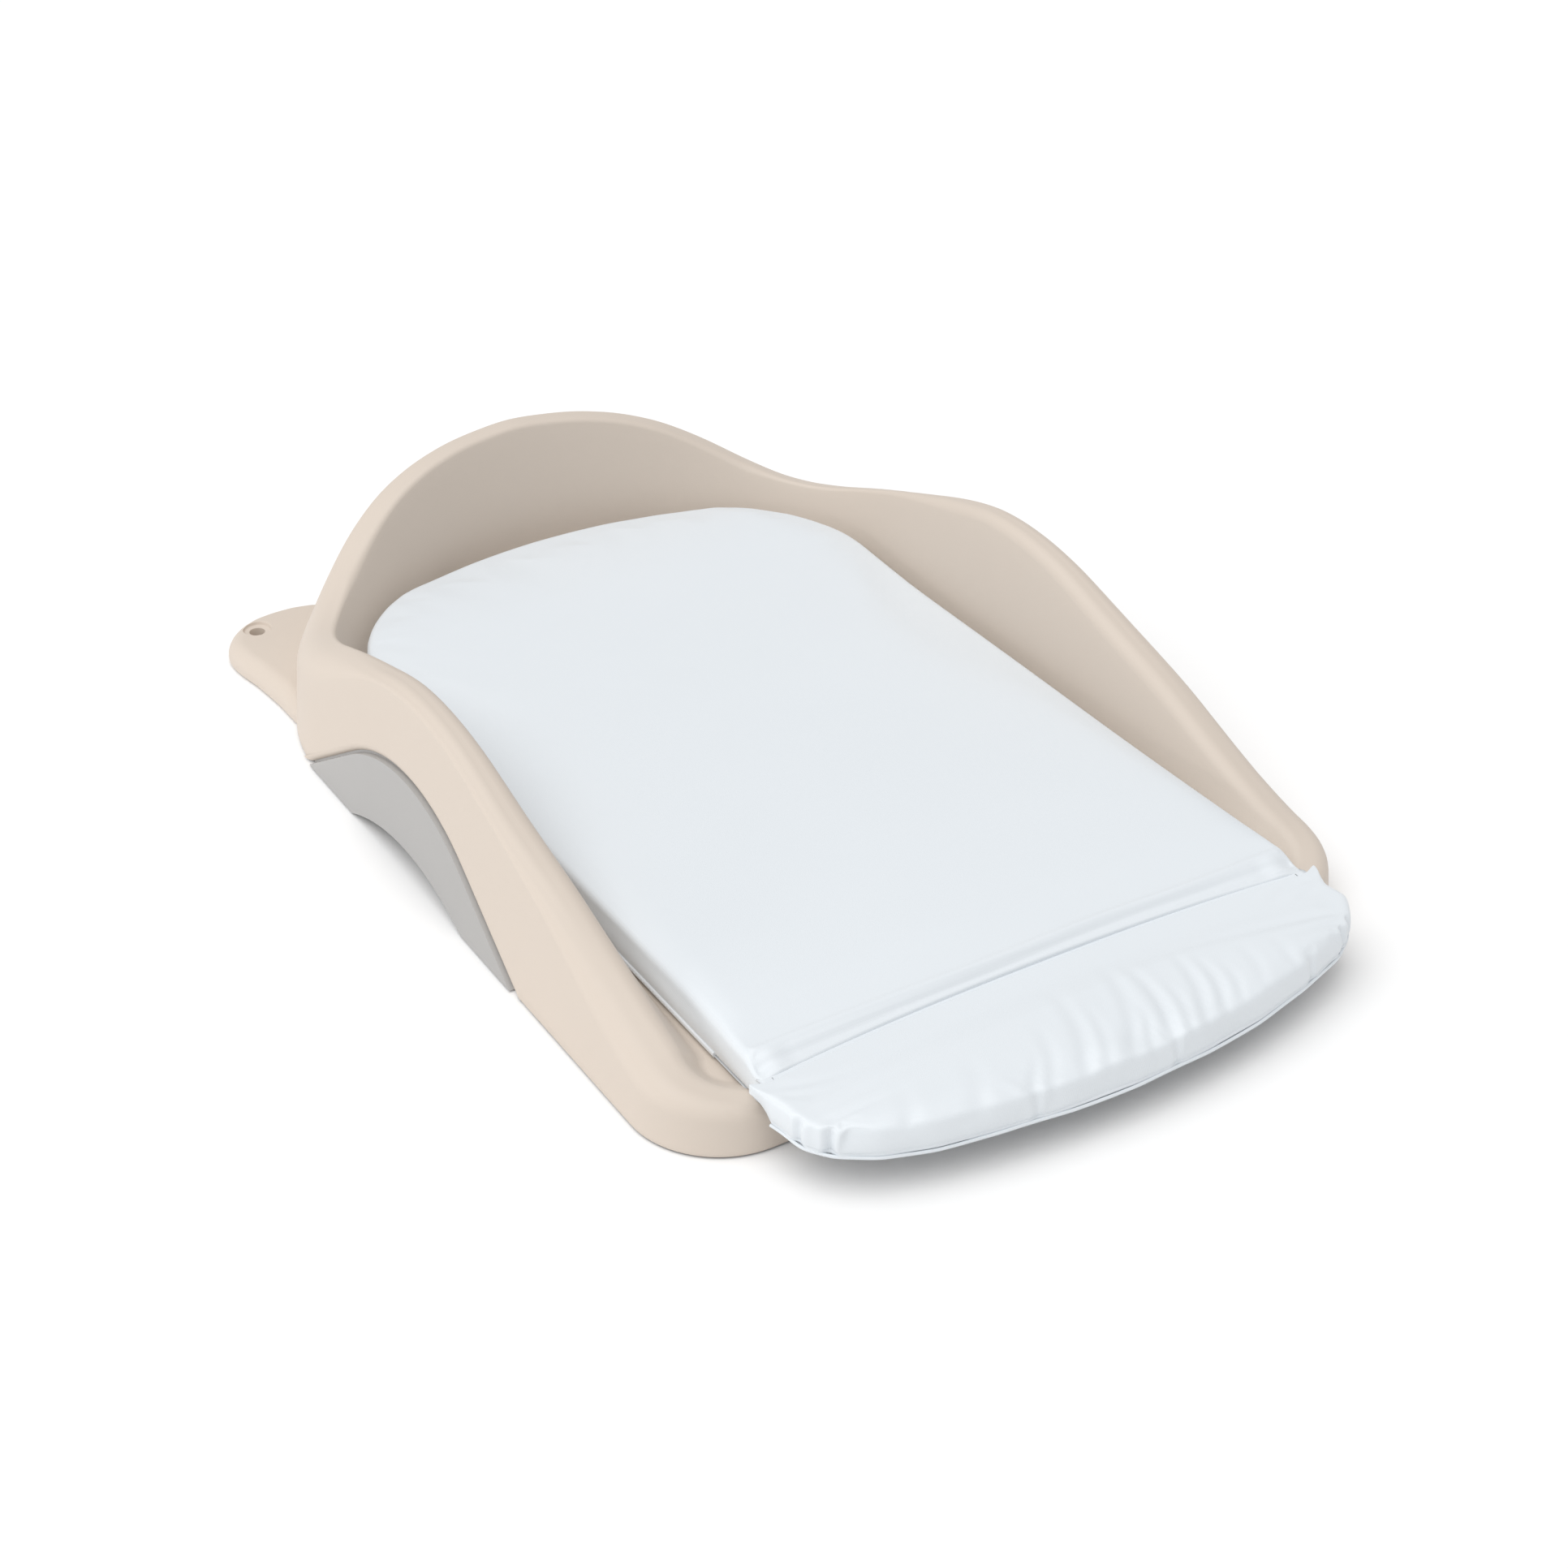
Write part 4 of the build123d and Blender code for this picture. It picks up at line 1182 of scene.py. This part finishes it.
class PAD_OT_side_feet(bpy.types.Operator):
    """Grey bell-shaped foot in each side of the skirt"""

    bl_idname = "pad.side_feet"
    bl_label = "Side Feet"

    def execute(self, context):
        edge = context.scene.pad_shell.foot_edge
        for node in ("left_side_foot", "right_side_foot"):
            eased_copy(node, f"{node}_moulding", edge, "foot_plastic", "shell")
        return {"FINISHED"}


class PAD_OT_fixings(bpy.types.Operator):
    """Finishes of the screws, rubber pads, patches and other small parts kept as they are"""

    bl_idname = "pad.fixings"
    bl_label = "Fixings"

    def execute(self, context):
        for node, finish in (
            ("side_foot_screws", "screw_steel"), ("side_foot_soles", "black_rubber"),
            ("deck_rubber_pads", "black_rubber"), ("deck_hook_patches", "hook_tape"),
            ("mattress_loop_patches", "loop_tape"), ("zip_tape", "zip_cloth"),
            ("zip_end_stops", "zip_metal"),
        ):
            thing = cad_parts[node]
            thing.data.materials.clear()
            thing.data.materials.append(finish_of(finish))
        return {"FINISHED"}


# ------------------------------------------------------------------ mattress
MATTRESS_HALF = 205.5
MATTRESS_BACK_RADIUS = 393.0
MATTRESS_CORNER = 135.0
MATTRESS_TOP = 56.0
HEAD_LIFT = 1.6           # how much higher the top is at its head end
BASE_UNDER = 31.7         # underside of the base cloth
SEAM_Z = 32.6             # seam between base cloth and cover
CREASE_Y = -299.5         # front crease, where the top starts to slope to the seam
SEAM_END_Y = -322.0       # front seam at the mattress's sides
SEAM_DEPTH = 6.8          # how far the front seam lies below the top
HEAD_CORNER_FULLNESS = 3.0
HEAD_PLEAT = (186, 278, 1.8)  # x, y, depth of the pleat in each head corner's side
TAPE_END_Y = -316.0       # the edge tape stops here at the front


def seam_y(x, bow):
    """Front seam between mattress and flap, bowed back a little in its middle."""
    return SEAM_END_Y + bow * (1 - np.clip(np.abs(x) / 212.0, 0, 1) ** 2.4)


def mattress_outline(spacing, bow):
    radius, corner = MATTRESS_BACK_RADIUS, MATTRESS_CORNER
    inner = radius - corner
    cx = MATTRESS_HALF - corner
    cy = BACK_CENTRE_Y + math.sqrt(inner ** 2 - cx ** 2)
    meet = math.atan2(cy - BACK_CENTRE_Y, cx)
    turn = np.linspace(0, meet, 40)
    right = np.column_stack([cx + corner * np.cos(turn), cy + corner * np.sin(turn)])
    sweep = np.linspace(meet, math.pi - meet, 60)[1:-1]
    back = np.column_stack([radius * np.cos(sweep), BACK_CENTRE_Y + radius * np.sin(sweep)])
    left = right[::-1] * [-1, 1]
    xs = np.linspace(-MATTRESS_HALF, MATTRESS_HALF, 60)
    front = np.column_stack([xs, seam_y(xs, bow) + 1.0])
    return even_loop(np.vstack([front, right, back, left]), spacing, rounds=2.2)


def mattress_top(x, y, sizes):
    """Height of the mattress's top."""
    bow = sizes.seam_bow / MM
    z = MATTRESS_TOP + HEAD_LIFT * np.clip((y - 100) / 170, 0, 1)
    across = 1 - np.clip(np.abs(x) / 205, 0, 1) ** 3
    z = z + sizes.crown / MM * across * np.clip((330 - np.abs(y)) / 90, 0, 1)
    start = CREASE_Y + 1.2 * np.sin(x / 31.0) * np.exp(-((x - 60) / 110) ** 2)
    past = np.clip(start - y, 0, None)
    run = start - seam_y(x, bow)
    soft = np.sqrt((start - y) ** 2 + 2.2 ** 2) / 2 + (start - y) / 2
    z = z - soft / run * SEAM_DEPTH
    z = z + sizes.ridge / MM * np.exp(-((y - start - 0.5) / 2.2) ** 2)
    share = np.clip(past / run, 0, 1)
    band = np.sin(math.pi * share) ** 0.7
    z = z + band * 1.0 * np.sin(2 * math.pi * (1.7 * share - 0.1 + 0.12 * np.sin(x / 70.0)))
    near_end = np.clip((np.abs(x) - 172) / 30, 0, 1)
    z = z - band * near_end * 2.4 * np.cos((np.abs(x) - 172) / 5.0)
    z = z + 0.35 * np.sin(x / 57.0 + y / 83.0) * np.sin(y / 71.0 - 0.6)
    return z


MATTRESS_ROLL = [(5.8, 0.0), (4.1, 0.3), (2.6, 1.0), (1.5, 2.1), (0.6, 3.7), (0.2, 5.8), (0.0, 8.5)]


class PAD_OT_mattress(bpy.types.Operator):
    """Padded mattress and the foam inside it"""

    bl_idname = "pad.mattress"
    bl_label = "Mattress"

    def execute(self, context):
        sizes = context.scene.pad_mattress
        bow = sizes.seam_bow / MM
        loop = mattress_outline(5.0, bow)
        front = np.clip((-300.0 - loop[:, 1]) / 8.0, 0, 1)
        squeeze = 1 - 0.6 * front
        full = HEAD_CORNER_FULLNESS * np.clip((loop[:, 1] - 130) / 90, 0, 1)
        full = full * np.clip((np.abs(loop[:, 0]) - 112) / 25, 0, 1)
        top_loop = offset_loop(loop, MATTRESS_ROLL[0][0] * squeeze - full)
        flat, fill = flat_fill(top_loop, [(7.5, -286.0, 345.0), (2.4, -318.0, -286.0)])
        z = mattress_top(flat[:, 0], flat[:, 1], sizes)
        points = np.column_stack([flat, z])
        faces = list(fill)
        rings = []
        roll_z = mattress_top(top_loop[:, 0], top_loop[:, 1], sizes)
        for inset, drop in MATTRESS_ROLL:
            rings.append(np.column_stack([
                offset_loop(loop, inset * squeeze - full), roll_z - drop * squeeze]))
        low = rings[-1][:, 2]
        for share, bulge in ((0.35, -0.5), (0.65, -0.4), (0.88, 0.1), (1.0, 0.9)):
            height = low + (SEAM_Z + 0.15 - low) * share
            rings.append(np.column_stack([offset_loop(loop, bulge - full * (1 - share)), height]))
        pleat_x, pleat_y, pleat_depth = HEAD_PLEAT
        for side in (1, -1):
            near = loop[np.argmin(np.hypot(loop[:, 0] - side * pleat_x, loop[:, 1] - pleat_y))]
            gap = np.hypot(loop[:, 0] - near[0], loop[:, 1] - near[1])
            for k in range(4, len(rings) - 1):
                tall = (k - 4) / (len(rings) - 5)
                pull = pleat_depth * math.sin(math.pi * tall) * (
                    np.exp(-(gap / 4.0) ** 2) - 0.5 * np.exp(-((gap - 9.0) / 4.0) ** 2))
                rings[k][:, :2] = shifted(rings[k][:, :2], loop, pull)
        base = len(points)
        points = np.vstack([points] + rings)
        faces += [tuple(base + i for i in face[::-1]) for face in strip_faces(rings, True)]
        floor_flat, floor_fill = flat_fill(rings[-1][:, :2], [(11.0, -318.0, 345.0)])
        base = len(points)
        floor_z = np.full(len(floor_flat), SEAM_Z + 0.15)
        points = np.vstack([points, np.column_stack([floor_flat, floor_z])])
        faces += [tuple(base + i for i in face[::-1]) for face in floor_fill]
        pad = add_object("mattress_cover", points, faces, "coated_cloth", smooth=60.0)
        tidy_mesh(pad.data, 60.0, recalculate=True)
        places = np.array([v.co for v in pad.data.vertices]) / MM
        held = np.where(places[:, 2] < SEAM_Z + 3, 1.0, 0.0)
        held = np.maximum(held, np.clip((-262 - places[:, 1]) / 30, 0, 1))
        puff(pad, held, sizes.pressure, sizes.swell)
        finer = pad.modifiers.new("finer", "SUBSURF")
        finer.levels = finer.render_levels = 1
        bake(pad)
        pad.data.shade_smooth()
        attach(pad, "mattress")
        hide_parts("mattress_cover_top")

        foam = inner_copy(pad, "mattress_foam", 0.0014)
        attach(foam, "mattress")
        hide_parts("mattress_core")
        return {"FINISHED"}


def inner_copy(outer, name, depth):
    """Foam body: the cover's shape drawn in by a depth."""
    mesh = outer.data.copy()
    work = bmesh.new()
    work.from_mesh(mesh)
    work.normal_update()
    for vertex in work.verts:
        vertex.co -= vertex.normal * depth
    work.to_mesh(mesh)
    work.free()
    mesh.materials.clear()
    mesh.materials.append(finish_of("foam"))
    thing = bpy.data.objects.new(name, mesh)
    bpy.context.scene.collection.objects.link(thing)
    return thing


def flat_slab(name, loop, low, high, spacing, finish, smooth=40.0):
    """Thin flat piece of cloth with eased edges."""
    ease = min(0.35, (high - low) / 3)
    rings = [np.column_stack([offset_loop(loop, t), np.full(len(loop), z)])
             for t, z in ((ease, low), (0, low + ease), (0, high - ease), (ease, high))]
    points, faces = np.concatenate(rings), strip_faces(rings, True)
    y_low, y_high = loop[:, 1].min(), loop[:, 1].max()
    for ring, flip in ((rings[-1], False), (rings[0], True)):
        flat, fill = flat_fill(ring[:, :2], [(spacing, y_low, y_high)])
        base = len(points)
        points = np.vstack([points, np.column_stack([flat, np.full(len(flat), ring[0, 2])])])
        faces += [tuple(base + i for i in (face[::-1] if flip else face)) for face in fill]
    return add_object(name, points, faces, finish, smooth=smooth)


def box_loop(low, high, corner):
    """Rectangle outline of a CAD node's box in plan, with rounded corners."""
    x1, y1, x2, y2 = low.x / MM, low.y / MM, high.x / MM, high.y / MM
    return even_loop([(x1, y1), (x2, y1), (x2, y2), (x1, y2)], 1.6, rounds=corner)


class PAD_OT_mattress_trim(bpy.types.Operator):
    """Base cloth, edge tape and care label"""

    bl_idname = "pad.mattress_trim"
    bl_label = "Mattress Trim"

    def execute(self, context):
        bow = context.scene.pad_mattress.seam_bow / MM
        loop = mattress_outline(6.0, bow)
        base = flat_slab("mattress_base", loop, BASE_UNDER, SEAM_Z, 24.0, "base_cloth")
        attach(base, "mattress")
        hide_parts("mattress_cover_base")

        low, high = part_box("mattress_edge_binding")
        tape_loop = offset_loop(loop, -0.15)
        keep = tape_loop[:, 1] > TAPE_END_Y
        start = int(np.argmax(keep & ~np.roll(keep, 1)))
        path = np.roll(tape_loop, -start, axis=0)[: int(keep.sum())]
        path = np.column_stack([path, np.full(len(path), (low.z + high.z) / 2 / MM)])
        tape = tube("mattress_edge_tape", path, 2.0, "edge_tape", sides=10, flat=0.55)
        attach(tape, "mattress")
        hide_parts("mattress_edge_binding")

        low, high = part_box("care_label")
        label = flat_slab("sewn_label", box_loop(low, high, 0.8), low.z / MM, high.z / MM, 6.0,
                          "label_cloth")
        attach(label, "mattress")
        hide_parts("care_label")
        return {"FINISHED"}


# ------------------------------------------------------------------ zip
COIL_RADIUS = 394.55      # of the coil's middle about the bowed back's centre
COIL_CORE_RADIUS = 394.45
COIL_DEGREES = 12.8
ZIP_STITCH_RADIUS = 393.85
ZIP_STITCH_DEGREES = 13.6
ZIP_STITCH_RISE = 4.1     # from the coil to each row of stitches


def zip_arc(radius, degrees, z, count=60):
    """Points of a level arc across the bowed back, to the same angle on each side."""
    angles = np.radians(np.linspace(90 + degrees, 90 - degrees, count))
    return np.column_stack([radius * np.cos(angles), BACK_CENTRE_Y + radius * np.sin(angles),
                            np.full(count, z)])


class PAD_OT_zip(bpy.types.Operator):
    """Zip coil and slider across the head end"""

    bl_idname = "pad.zip"
    bl_label = "Zip"

    def execute(self, context):
        sizes = context.scene.pad_sewing
        low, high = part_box("zip_coil")
        z = (low.z + high.z) / 2 / MM
        path = zip_arc(COIL_RADIUS, COIL_DEGREES, z, 120)
        coil = grown("zip_coil_loops", path, path_edges(len(path), False), row_tree(), {
            "Spacing": sizes.tooth_gap, "Length": 0.0012, "Width": 0.0015,
            "Height": (high.z - low.z),
        }, "zip_plastic", "mattress")
        core = tube("zip_coil_core", zip_arc(COIL_CORE_RADIUS, COIL_DEGREES, z), 0.45, "zip_plastic",
                    sides=6)
        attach(core, "mattress")
        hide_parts("zip_coil")
        eased_copy("zip_slider", "zip_slider_body", 0.0005, "zip_metal", "zip_slider")
        for row, height in (("upper", z + ZIP_STITCH_RISE), ("lower", z - ZIP_STITCH_RISE)):
            path = zip_arc(ZIP_STITCH_RADIUS, ZIP_STITCH_DEGREES, height, 120)
            grown(f"zip_stitches_{row}", path, path_edges(len(path), False), row_tree(), {
                "Spacing": sizes.stitch_gap * 0.7, "Length": sizes.stitch_length * 0.7,
                "Width": sizes.thread, "Height": sizes.thread,
            }, "sewing_thread", "mattress")
        return {"FINISHED"}


# ------------------------------------------------------------------ flap
FLAP_STEP = 2.3           # spacing of the points around the flap
TIP_X = (-215, 216)       # pinched ends of the seam
TIP_THINNING = 13.5       # how much thinner the flap is there
FLAP_ROLL = [(1.0, 0.0), (0.62, 0.07), (0.34, 0.24), (0.13, 0.50), (0.02, 0.80)]
HEEL_CUT = 13.0           # undercut of the flap's back edge, so that it can fold up
FOAM_HALF = 0.198         # the foam stops short of the pinched ends
WEB_ROWS = [(0.0, 47.2), (0.35, 48.6), (0.6, 48.6), (1.0, 46.8)]
FLAP_OUTLINE = [
    (209, -338), (214, -352), (203.5, -368), (184, -381.5), (142, -396), (100, -406),
    (52, -412.5), (0, -415), (-50, -413), (-96, -408), (-137, -401), (-170, -391),
    (-192, -377.5), (-204, -362), (-207, -343),
]
FLAP_FOLDS = [
    # x1, y1 (front end), x2, y2 (back end), depth, width
    (-1, -410, 30, -338, 2.1, 4.6),
    (12, -411, 26, -370, 1.3, 3.0),
    (29, -410, 41, -348, 2.5, 4.0),
    (43, -409, 52, -372, 1.4, 2.8),
    (56, -407, 74, -350, 2.3, 4.0),
    (73, -404, 84, -360, 2.0, 3.6),
    (88, -401, 95, -374, 1.2, 3.0),
    (-20, -411, -4, -362, 1.3, 3.6),
    (-36, -411, -12, -345, 2.0, 5.0),
    (-76, -410, -55, -384, 1.6, 3.6),
    (-62, -411, -40, -366, 1.5, 4.2),
    (108, -398, 116, -364, 1.1, 4.4),
    (136, -390, 139, -366, 0.8, 4.4),
    (-110, -405, -92, -370, 0.9, 6.0),
    (-150, -392, -140, -366, 0.8, 6.0),
    (-201, -330, -150, -336, 1.6, 3.6),
    (-203, -336, -168, -347, 1.0, 3.4),
    (205, -328, 160, -336, 1.5, 3.6),
    (206, -335, 178, -346, 1.0, 3.4),
]
# x, y, depth, width
FLAP_PLEATS = [(-208, -359, 3.6, 2.8), (-197, -379.5, 4.4, 3.0), (189, -378, 4.2, 2.6),
               (196, -371, 3.4, 2.4), (151, -393, 1.6, 3.4), (-72, -411, 1.4, 3.0),
               (30, -414, 1.5, 3.0)]


# share of the boxing's height, bulge inwards: a groove runs above the lower edge
FLAP_SIDE = [(0.22, -0.5), (0.45, -0.9), (0.66, -0.6), (0.76, -0.2), (0.82, 1.1), (0.88, 0.1),
             (1.0, 0.9)]


def flap_outline(spacing, bow):
    xs = np.linspace(*TIP_X, 110)
    tip = np.clip((np.abs(xs) - 204) / 11, 0, 1) ** 1.4
    back = np.column_stack([xs, seam_y(xs, bow) - 1.6 + 7.5 * tip])[::-1]
    loop = np.vstack([back, FLAP_OUTLINE[::-1]])
    return even_loop(loop, spacing, rounds=4.2)


def tip_share(places):
    """1 in the thin pinched ends of the seam, 0 in the padded flap."""
    return np.clip((np.abs(places[:, 0]) - 200) / 8, 0, 1) * np.clip((places[:, 1] + 336) / 12, 0, 1)


def flap_top(x, y, sizes):
    """Height of the flap's top where it isn't rolled over at its edges."""
    droop = math.tan(sizes.droop)
    z = 50.4 + (y - HINGE_Y) * droop
    z = z + 1.1 * np.clip(1 - (x / 200.0) ** 2, 0, 1) * np.sin(math.pi * np.clip((-322 - y) / 92, 0, 1))
    for fold in FLAP_FOLDS:
        z = z + fold_at(x, y, fold)
    near_front = np.exp(-((y + 404) / 9.0) ** 2)
    wave = np.sin(x / 11.0 + 0.8 * np.sin(x / 29.0)) * np.exp(-((x - 15) / 95) ** 2)
    z = z - near_front * (0.4 + 1.2 * wave)
    return z


class PAD_OT_flap(bpy.types.Operator):
    """Padded flap, its foam, its base cloth and the cord along its lower edge"""

    bl_idname = "pad.flap"
    bl_label = "Front Flap"

    def execute(self, context):
        sizes = context.scene.pad_flap
        bow = context.scene.pad_mattress.seam_bow / MM
        droop = math.tan(sizes.droop)
        thick = sizes.thickness / MM
        loop = flap_outline(FLAP_STEP, bow)
        back = np.clip((loop[:, 1] + 336.0) / 12.0, 0, 1)
        back = np.where(np.abs(loop[:, 0]) > 205, back * 0.5, back)
        tip = tip_share(loop)
        inner = (4.6 - 3.0 * back) * (1 - 0.85 * tip)
        top_loop = offset_loop(loop, inner)
        flat, fill = flat_fill(top_loop, [(2.9, -415.0, -308.0)])
        points = np.column_stack([flat, flap_top(flat[:, 0], flat[:, 1], sizes)])
        faces = list(fill)
        roll_z = flap_top(top_loop[:, 0], top_loop[:, 1], sizes)
        under = HINGE_Z - thick + 1.0 + (loop[:, 1] - HINGE_Y) * droop + TIP_THINNING * tip
        rings = []
        for inset, drop in FLAP_ROLL:
            rings.append(np.column_stack([
                offset_loop(loop, inner * inset), roll_z - drop * (4.4 - 2.4 * back)]))
        low = rings[-1][:, 2]
        for share, bulge in FLAP_SIDE:
            heel = HEEL_CUT * back * share * (1 - tip)
            rings.append(np.column_stack([
                offset_loop(loop, bulge * (1 - back) * (1 - tip) + heel), low + (under - low) * share]))
        for px, py, depth, width in FLAP_PLEATS:
            px, py = loop[np.argmin(np.hypot(loop[:, 0] - px, loop[:, 1] - py))]
            for k in range(2, len(rings)):
                tall = (k - 2) / (len(rings) - 3)
                gap = np.hypot(loop[:, 0] - px, loop[:, 1] - py)
                wide = width * (0.6 + 1.1 * abs(tall - 0.45))
                pull = depth * np.sin(math.pi * (0.15 + 0.75 * tall)) * np.exp(-(gap / wide) ** 2)
                pull -= 0.22 * depth * np.exp(-((gap - 2.2 * wide) / wide) ** 2)
                rings[k][:, :2] = shifted(rings[k][:, :2], loop, pull)
        base = len(points)
        points = np.vstack([points] + rings)
        faces += [tuple(base + i for i in face[::-1]) for face in strip_faces(rings, True)]
        bottom = rings[-1]
        flat, fill = flat_fill(bottom[:, :2], [(7.0, -415.0, -318.0)])
        base = len(points)
        floor_z = HINGE_Z - thick + 1.0 + (flat[:, 1] - HINGE_Y) * droop
        floor_z += TIP_THINNING * tip_share(flat)
        floor_z[:len(bottom)] = bottom[:, 2]
        points = np.vstack([points, np.column_stack([flat, floor_z])])
        faces += [tuple(base + i for i in face[::-1]) for face in fill]
        pad = add_object("flap_cover", points, faces, "coated_cloth", smooth=70.0)
        tidy_mesh(pad.data, 70.0, recalculate=True)
        places = np.array([v.co for v in pad.data.vertices]) / MM
        lowest = HINGE_Z - thick + 1.0 + (places[:, 1] - HINGE_Y) * droop
        held = np.where(places[:, 2] < lowest + 1.5, 1.0, 0.0)
        held = np.maximum(held, np.clip((places[:, 1] + 352) / 22, 0, 1))
        held = np.maximum(held, np.clip((np.abs(places[:, 0]) - 186) / 12, 0, 1))
        puff(pad, held, sizes.pressure, sizes.swell)
        finer = pad.modifiers.new("finer", "SUBSURF")
        finer.levels = finer.render_levels = 1
        bake(pad)
        pad.data.shade_smooth()
        foam = inner_copy(pad, "flap_foam", 0.0013)
        for vertex in foam.data.vertices:
            vertex.co.x = max(-FOAM_HALF, min(FOAM_HALF, vertex.co.x))

        base_loop = bottom[tip < 0.1, :2]
        cloth = flat_slab("flap_base", even_loop(base_loop, 5.0), 0.0, 0.9, 16.0, "base_cloth")
        lean_piece(cloth, HINGE_Z - thick, droop)
        edge = offset_loop(loop, 0.2)
        front = loop[:, 1] < -335
        start = int(np.argmax(front & ~np.roll(front, 1)))
        path = np.roll(edge, -start, axis=0)[: int(front.sum())]
        path_z = HINGE_Z - thick + 1.2 + (path[:, 1] - HINGE_Y) * droop
        path = np.column_stack([path, path_z + 0.5 * np.sin(path[:, 0] / 17.0)])
        cord = tube("flap_edge_cord", path, sizes.cord / MM, "coated_cloth", sides=8)

        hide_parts("flap_cover_top")
        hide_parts("flap_core")
        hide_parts("flap_cover_base")
        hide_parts("flap_edge_binding")
        for piece in (pad, foam):
            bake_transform(piece)
        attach(cloth, "flap")
        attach(cord, "flap")

        xs = np.linspace(-206, 206, 120)
        rows = []
        for share, z in WEB_ROWS:
            rows.append(np.column_stack([xs, seam_y(xs, bow) + 6.5 - 13.0 * share, np.full(120, z)]))
        web = add_object("hinge_strip", np.concatenate(rows), strip_faces(rows, False), "coated_cloth",
                         smooth=60.0)
        thickness = web.modifiers.new("cloth", "SOLIDIFY")
        thickness.thickness = 0.0009
        bake(web)
        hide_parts("flap_hinge_web")
        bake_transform(web)
        return {"FINISHED"}


def shifted(places, loop, pull):
    """Points beside a closed outline moved in along its normals by a varying pull."""
    along = np.roll(loop, -1, axis=0) - np.roll(loop, 1, axis=0)
    along /= np.linalg.norm(along, axis=1)[:, None]
    return places + np.column_stack([-along[:, 1], along[:, 0]]) * pull[:, None]


def lean_piece(thing, height, droop):
    """Set a flat piece under the drooping flap."""
    for vertex in thing.data.vertices:
        vertex.co.z += (height + (vertex.co.y / MM - HINGE_Y) * droop) * MM
    thing.data.update()


STITCH_END_Y = -314.0     # the edge tape's stitches stop here at the front


class PAD_OT_stitches(bpy.types.Operator):
    """Stitches along the edge tape and around the care label"""

    bl_idname = "pad.stitches"
    bl_label = "Stitches"

    def execute(self, context):
        sizes = context.scene.pad_sewing
        bow = context.scene.pad_mattress.seam_bow / MM
        values = {"Spacing": sizes.stitch_gap, "Length": sizes.stitch_length,
                  "Width": sizes.thread, "Height": sizes.thread}
        loop = offset_loop(mattress_outline(5.0, bow), -1.2)
        keep = loop[:, 1] > STITCH_END_Y
        start = int(np.argmax(keep & ~np.roll(keep, 1)))
        path = np.roll(loop, -start, axis=0)[: int(keep.sum())]
        path = np.column_stack([path, np.full(len(path), 34.0)])
        grown("edge_tape_stitches", path, path_edges(len(path), False), row_tree(), values,
              "sewing_thread", "mattress")
        low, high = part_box("care_label")
        loop = offset_loop(box_loop(low, high, 0.8), 2.0)
        path = np.column_stack([loop, np.full(len(loop), low.z / MM - 0.05)])
        grown("label_stitches", path, path_edges(len(path), True), row_tree(),
              dict(values, Spacing=sizes.stitch_gap * 0.75, Length=sizes.stitch_length * 0.75),
              "sewing_thread", "mattress")
        return {"FINISHED"}


MAKERS = (PAD_OT_stage, PAD_OT_shell, PAD_OT_ears, PAD_OT_ribs, PAD_OT_side_feet, PAD_OT_fixings,
          PAD_OT_mattress, PAD_OT_mattress_trim, PAD_OT_zip, PAD_OT_flap, PAD_OT_stitches)


class PAD_PT_panel(bpy.types.Panel):
    """Buttons that make each piece"""

    bl_label = "Changing Pad"
    bl_idname = "PAD_PT_panel"
    bl_space_type = "VIEW_3D"
    bl_region_type = "UI"
    bl_category = "Changing Pad"

    def draw(self, context):
        for name, group in SIZE_GROUPS.items():
            box = self.layout.box()
            box.label(text=group.__doc__)
            for field in group.__annotations__:
                box.prop(getattr(context.scene, name), field)
        for maker in MAKERS:
            self.layout.operator(maker.bl_idname)


def register():
    for group in SIZE_GROUPS.values():
        bpy.utils.register_class(group)
    for name, group in SIZE_GROUPS.items():
        setattr(bpy.types.Scene, name, bpy.props.PointerProperty(type=group))
    for thing in MAKERS + (PAD_PT_panel,):
        bpy.utils.register_class(thing)


def unregister():
    for thing in reversed(MAKERS + (PAD_PT_panel,)):
        bpy.utils.unregister_class(thing)
    for name in SIZE_GROUPS:
        delattr(bpy.types.Scene, name)
    for group in reversed(list(SIZE_GROUPS.values())):
        bpy.utils.unregister_class(group)


def main():
    register()
    for maker in MAKERS:
        family, action = maker.bl_idname.split(".")
        getattr(getattr(bpy.ops, family), action)()


if __name__ == "__main__":
    main()
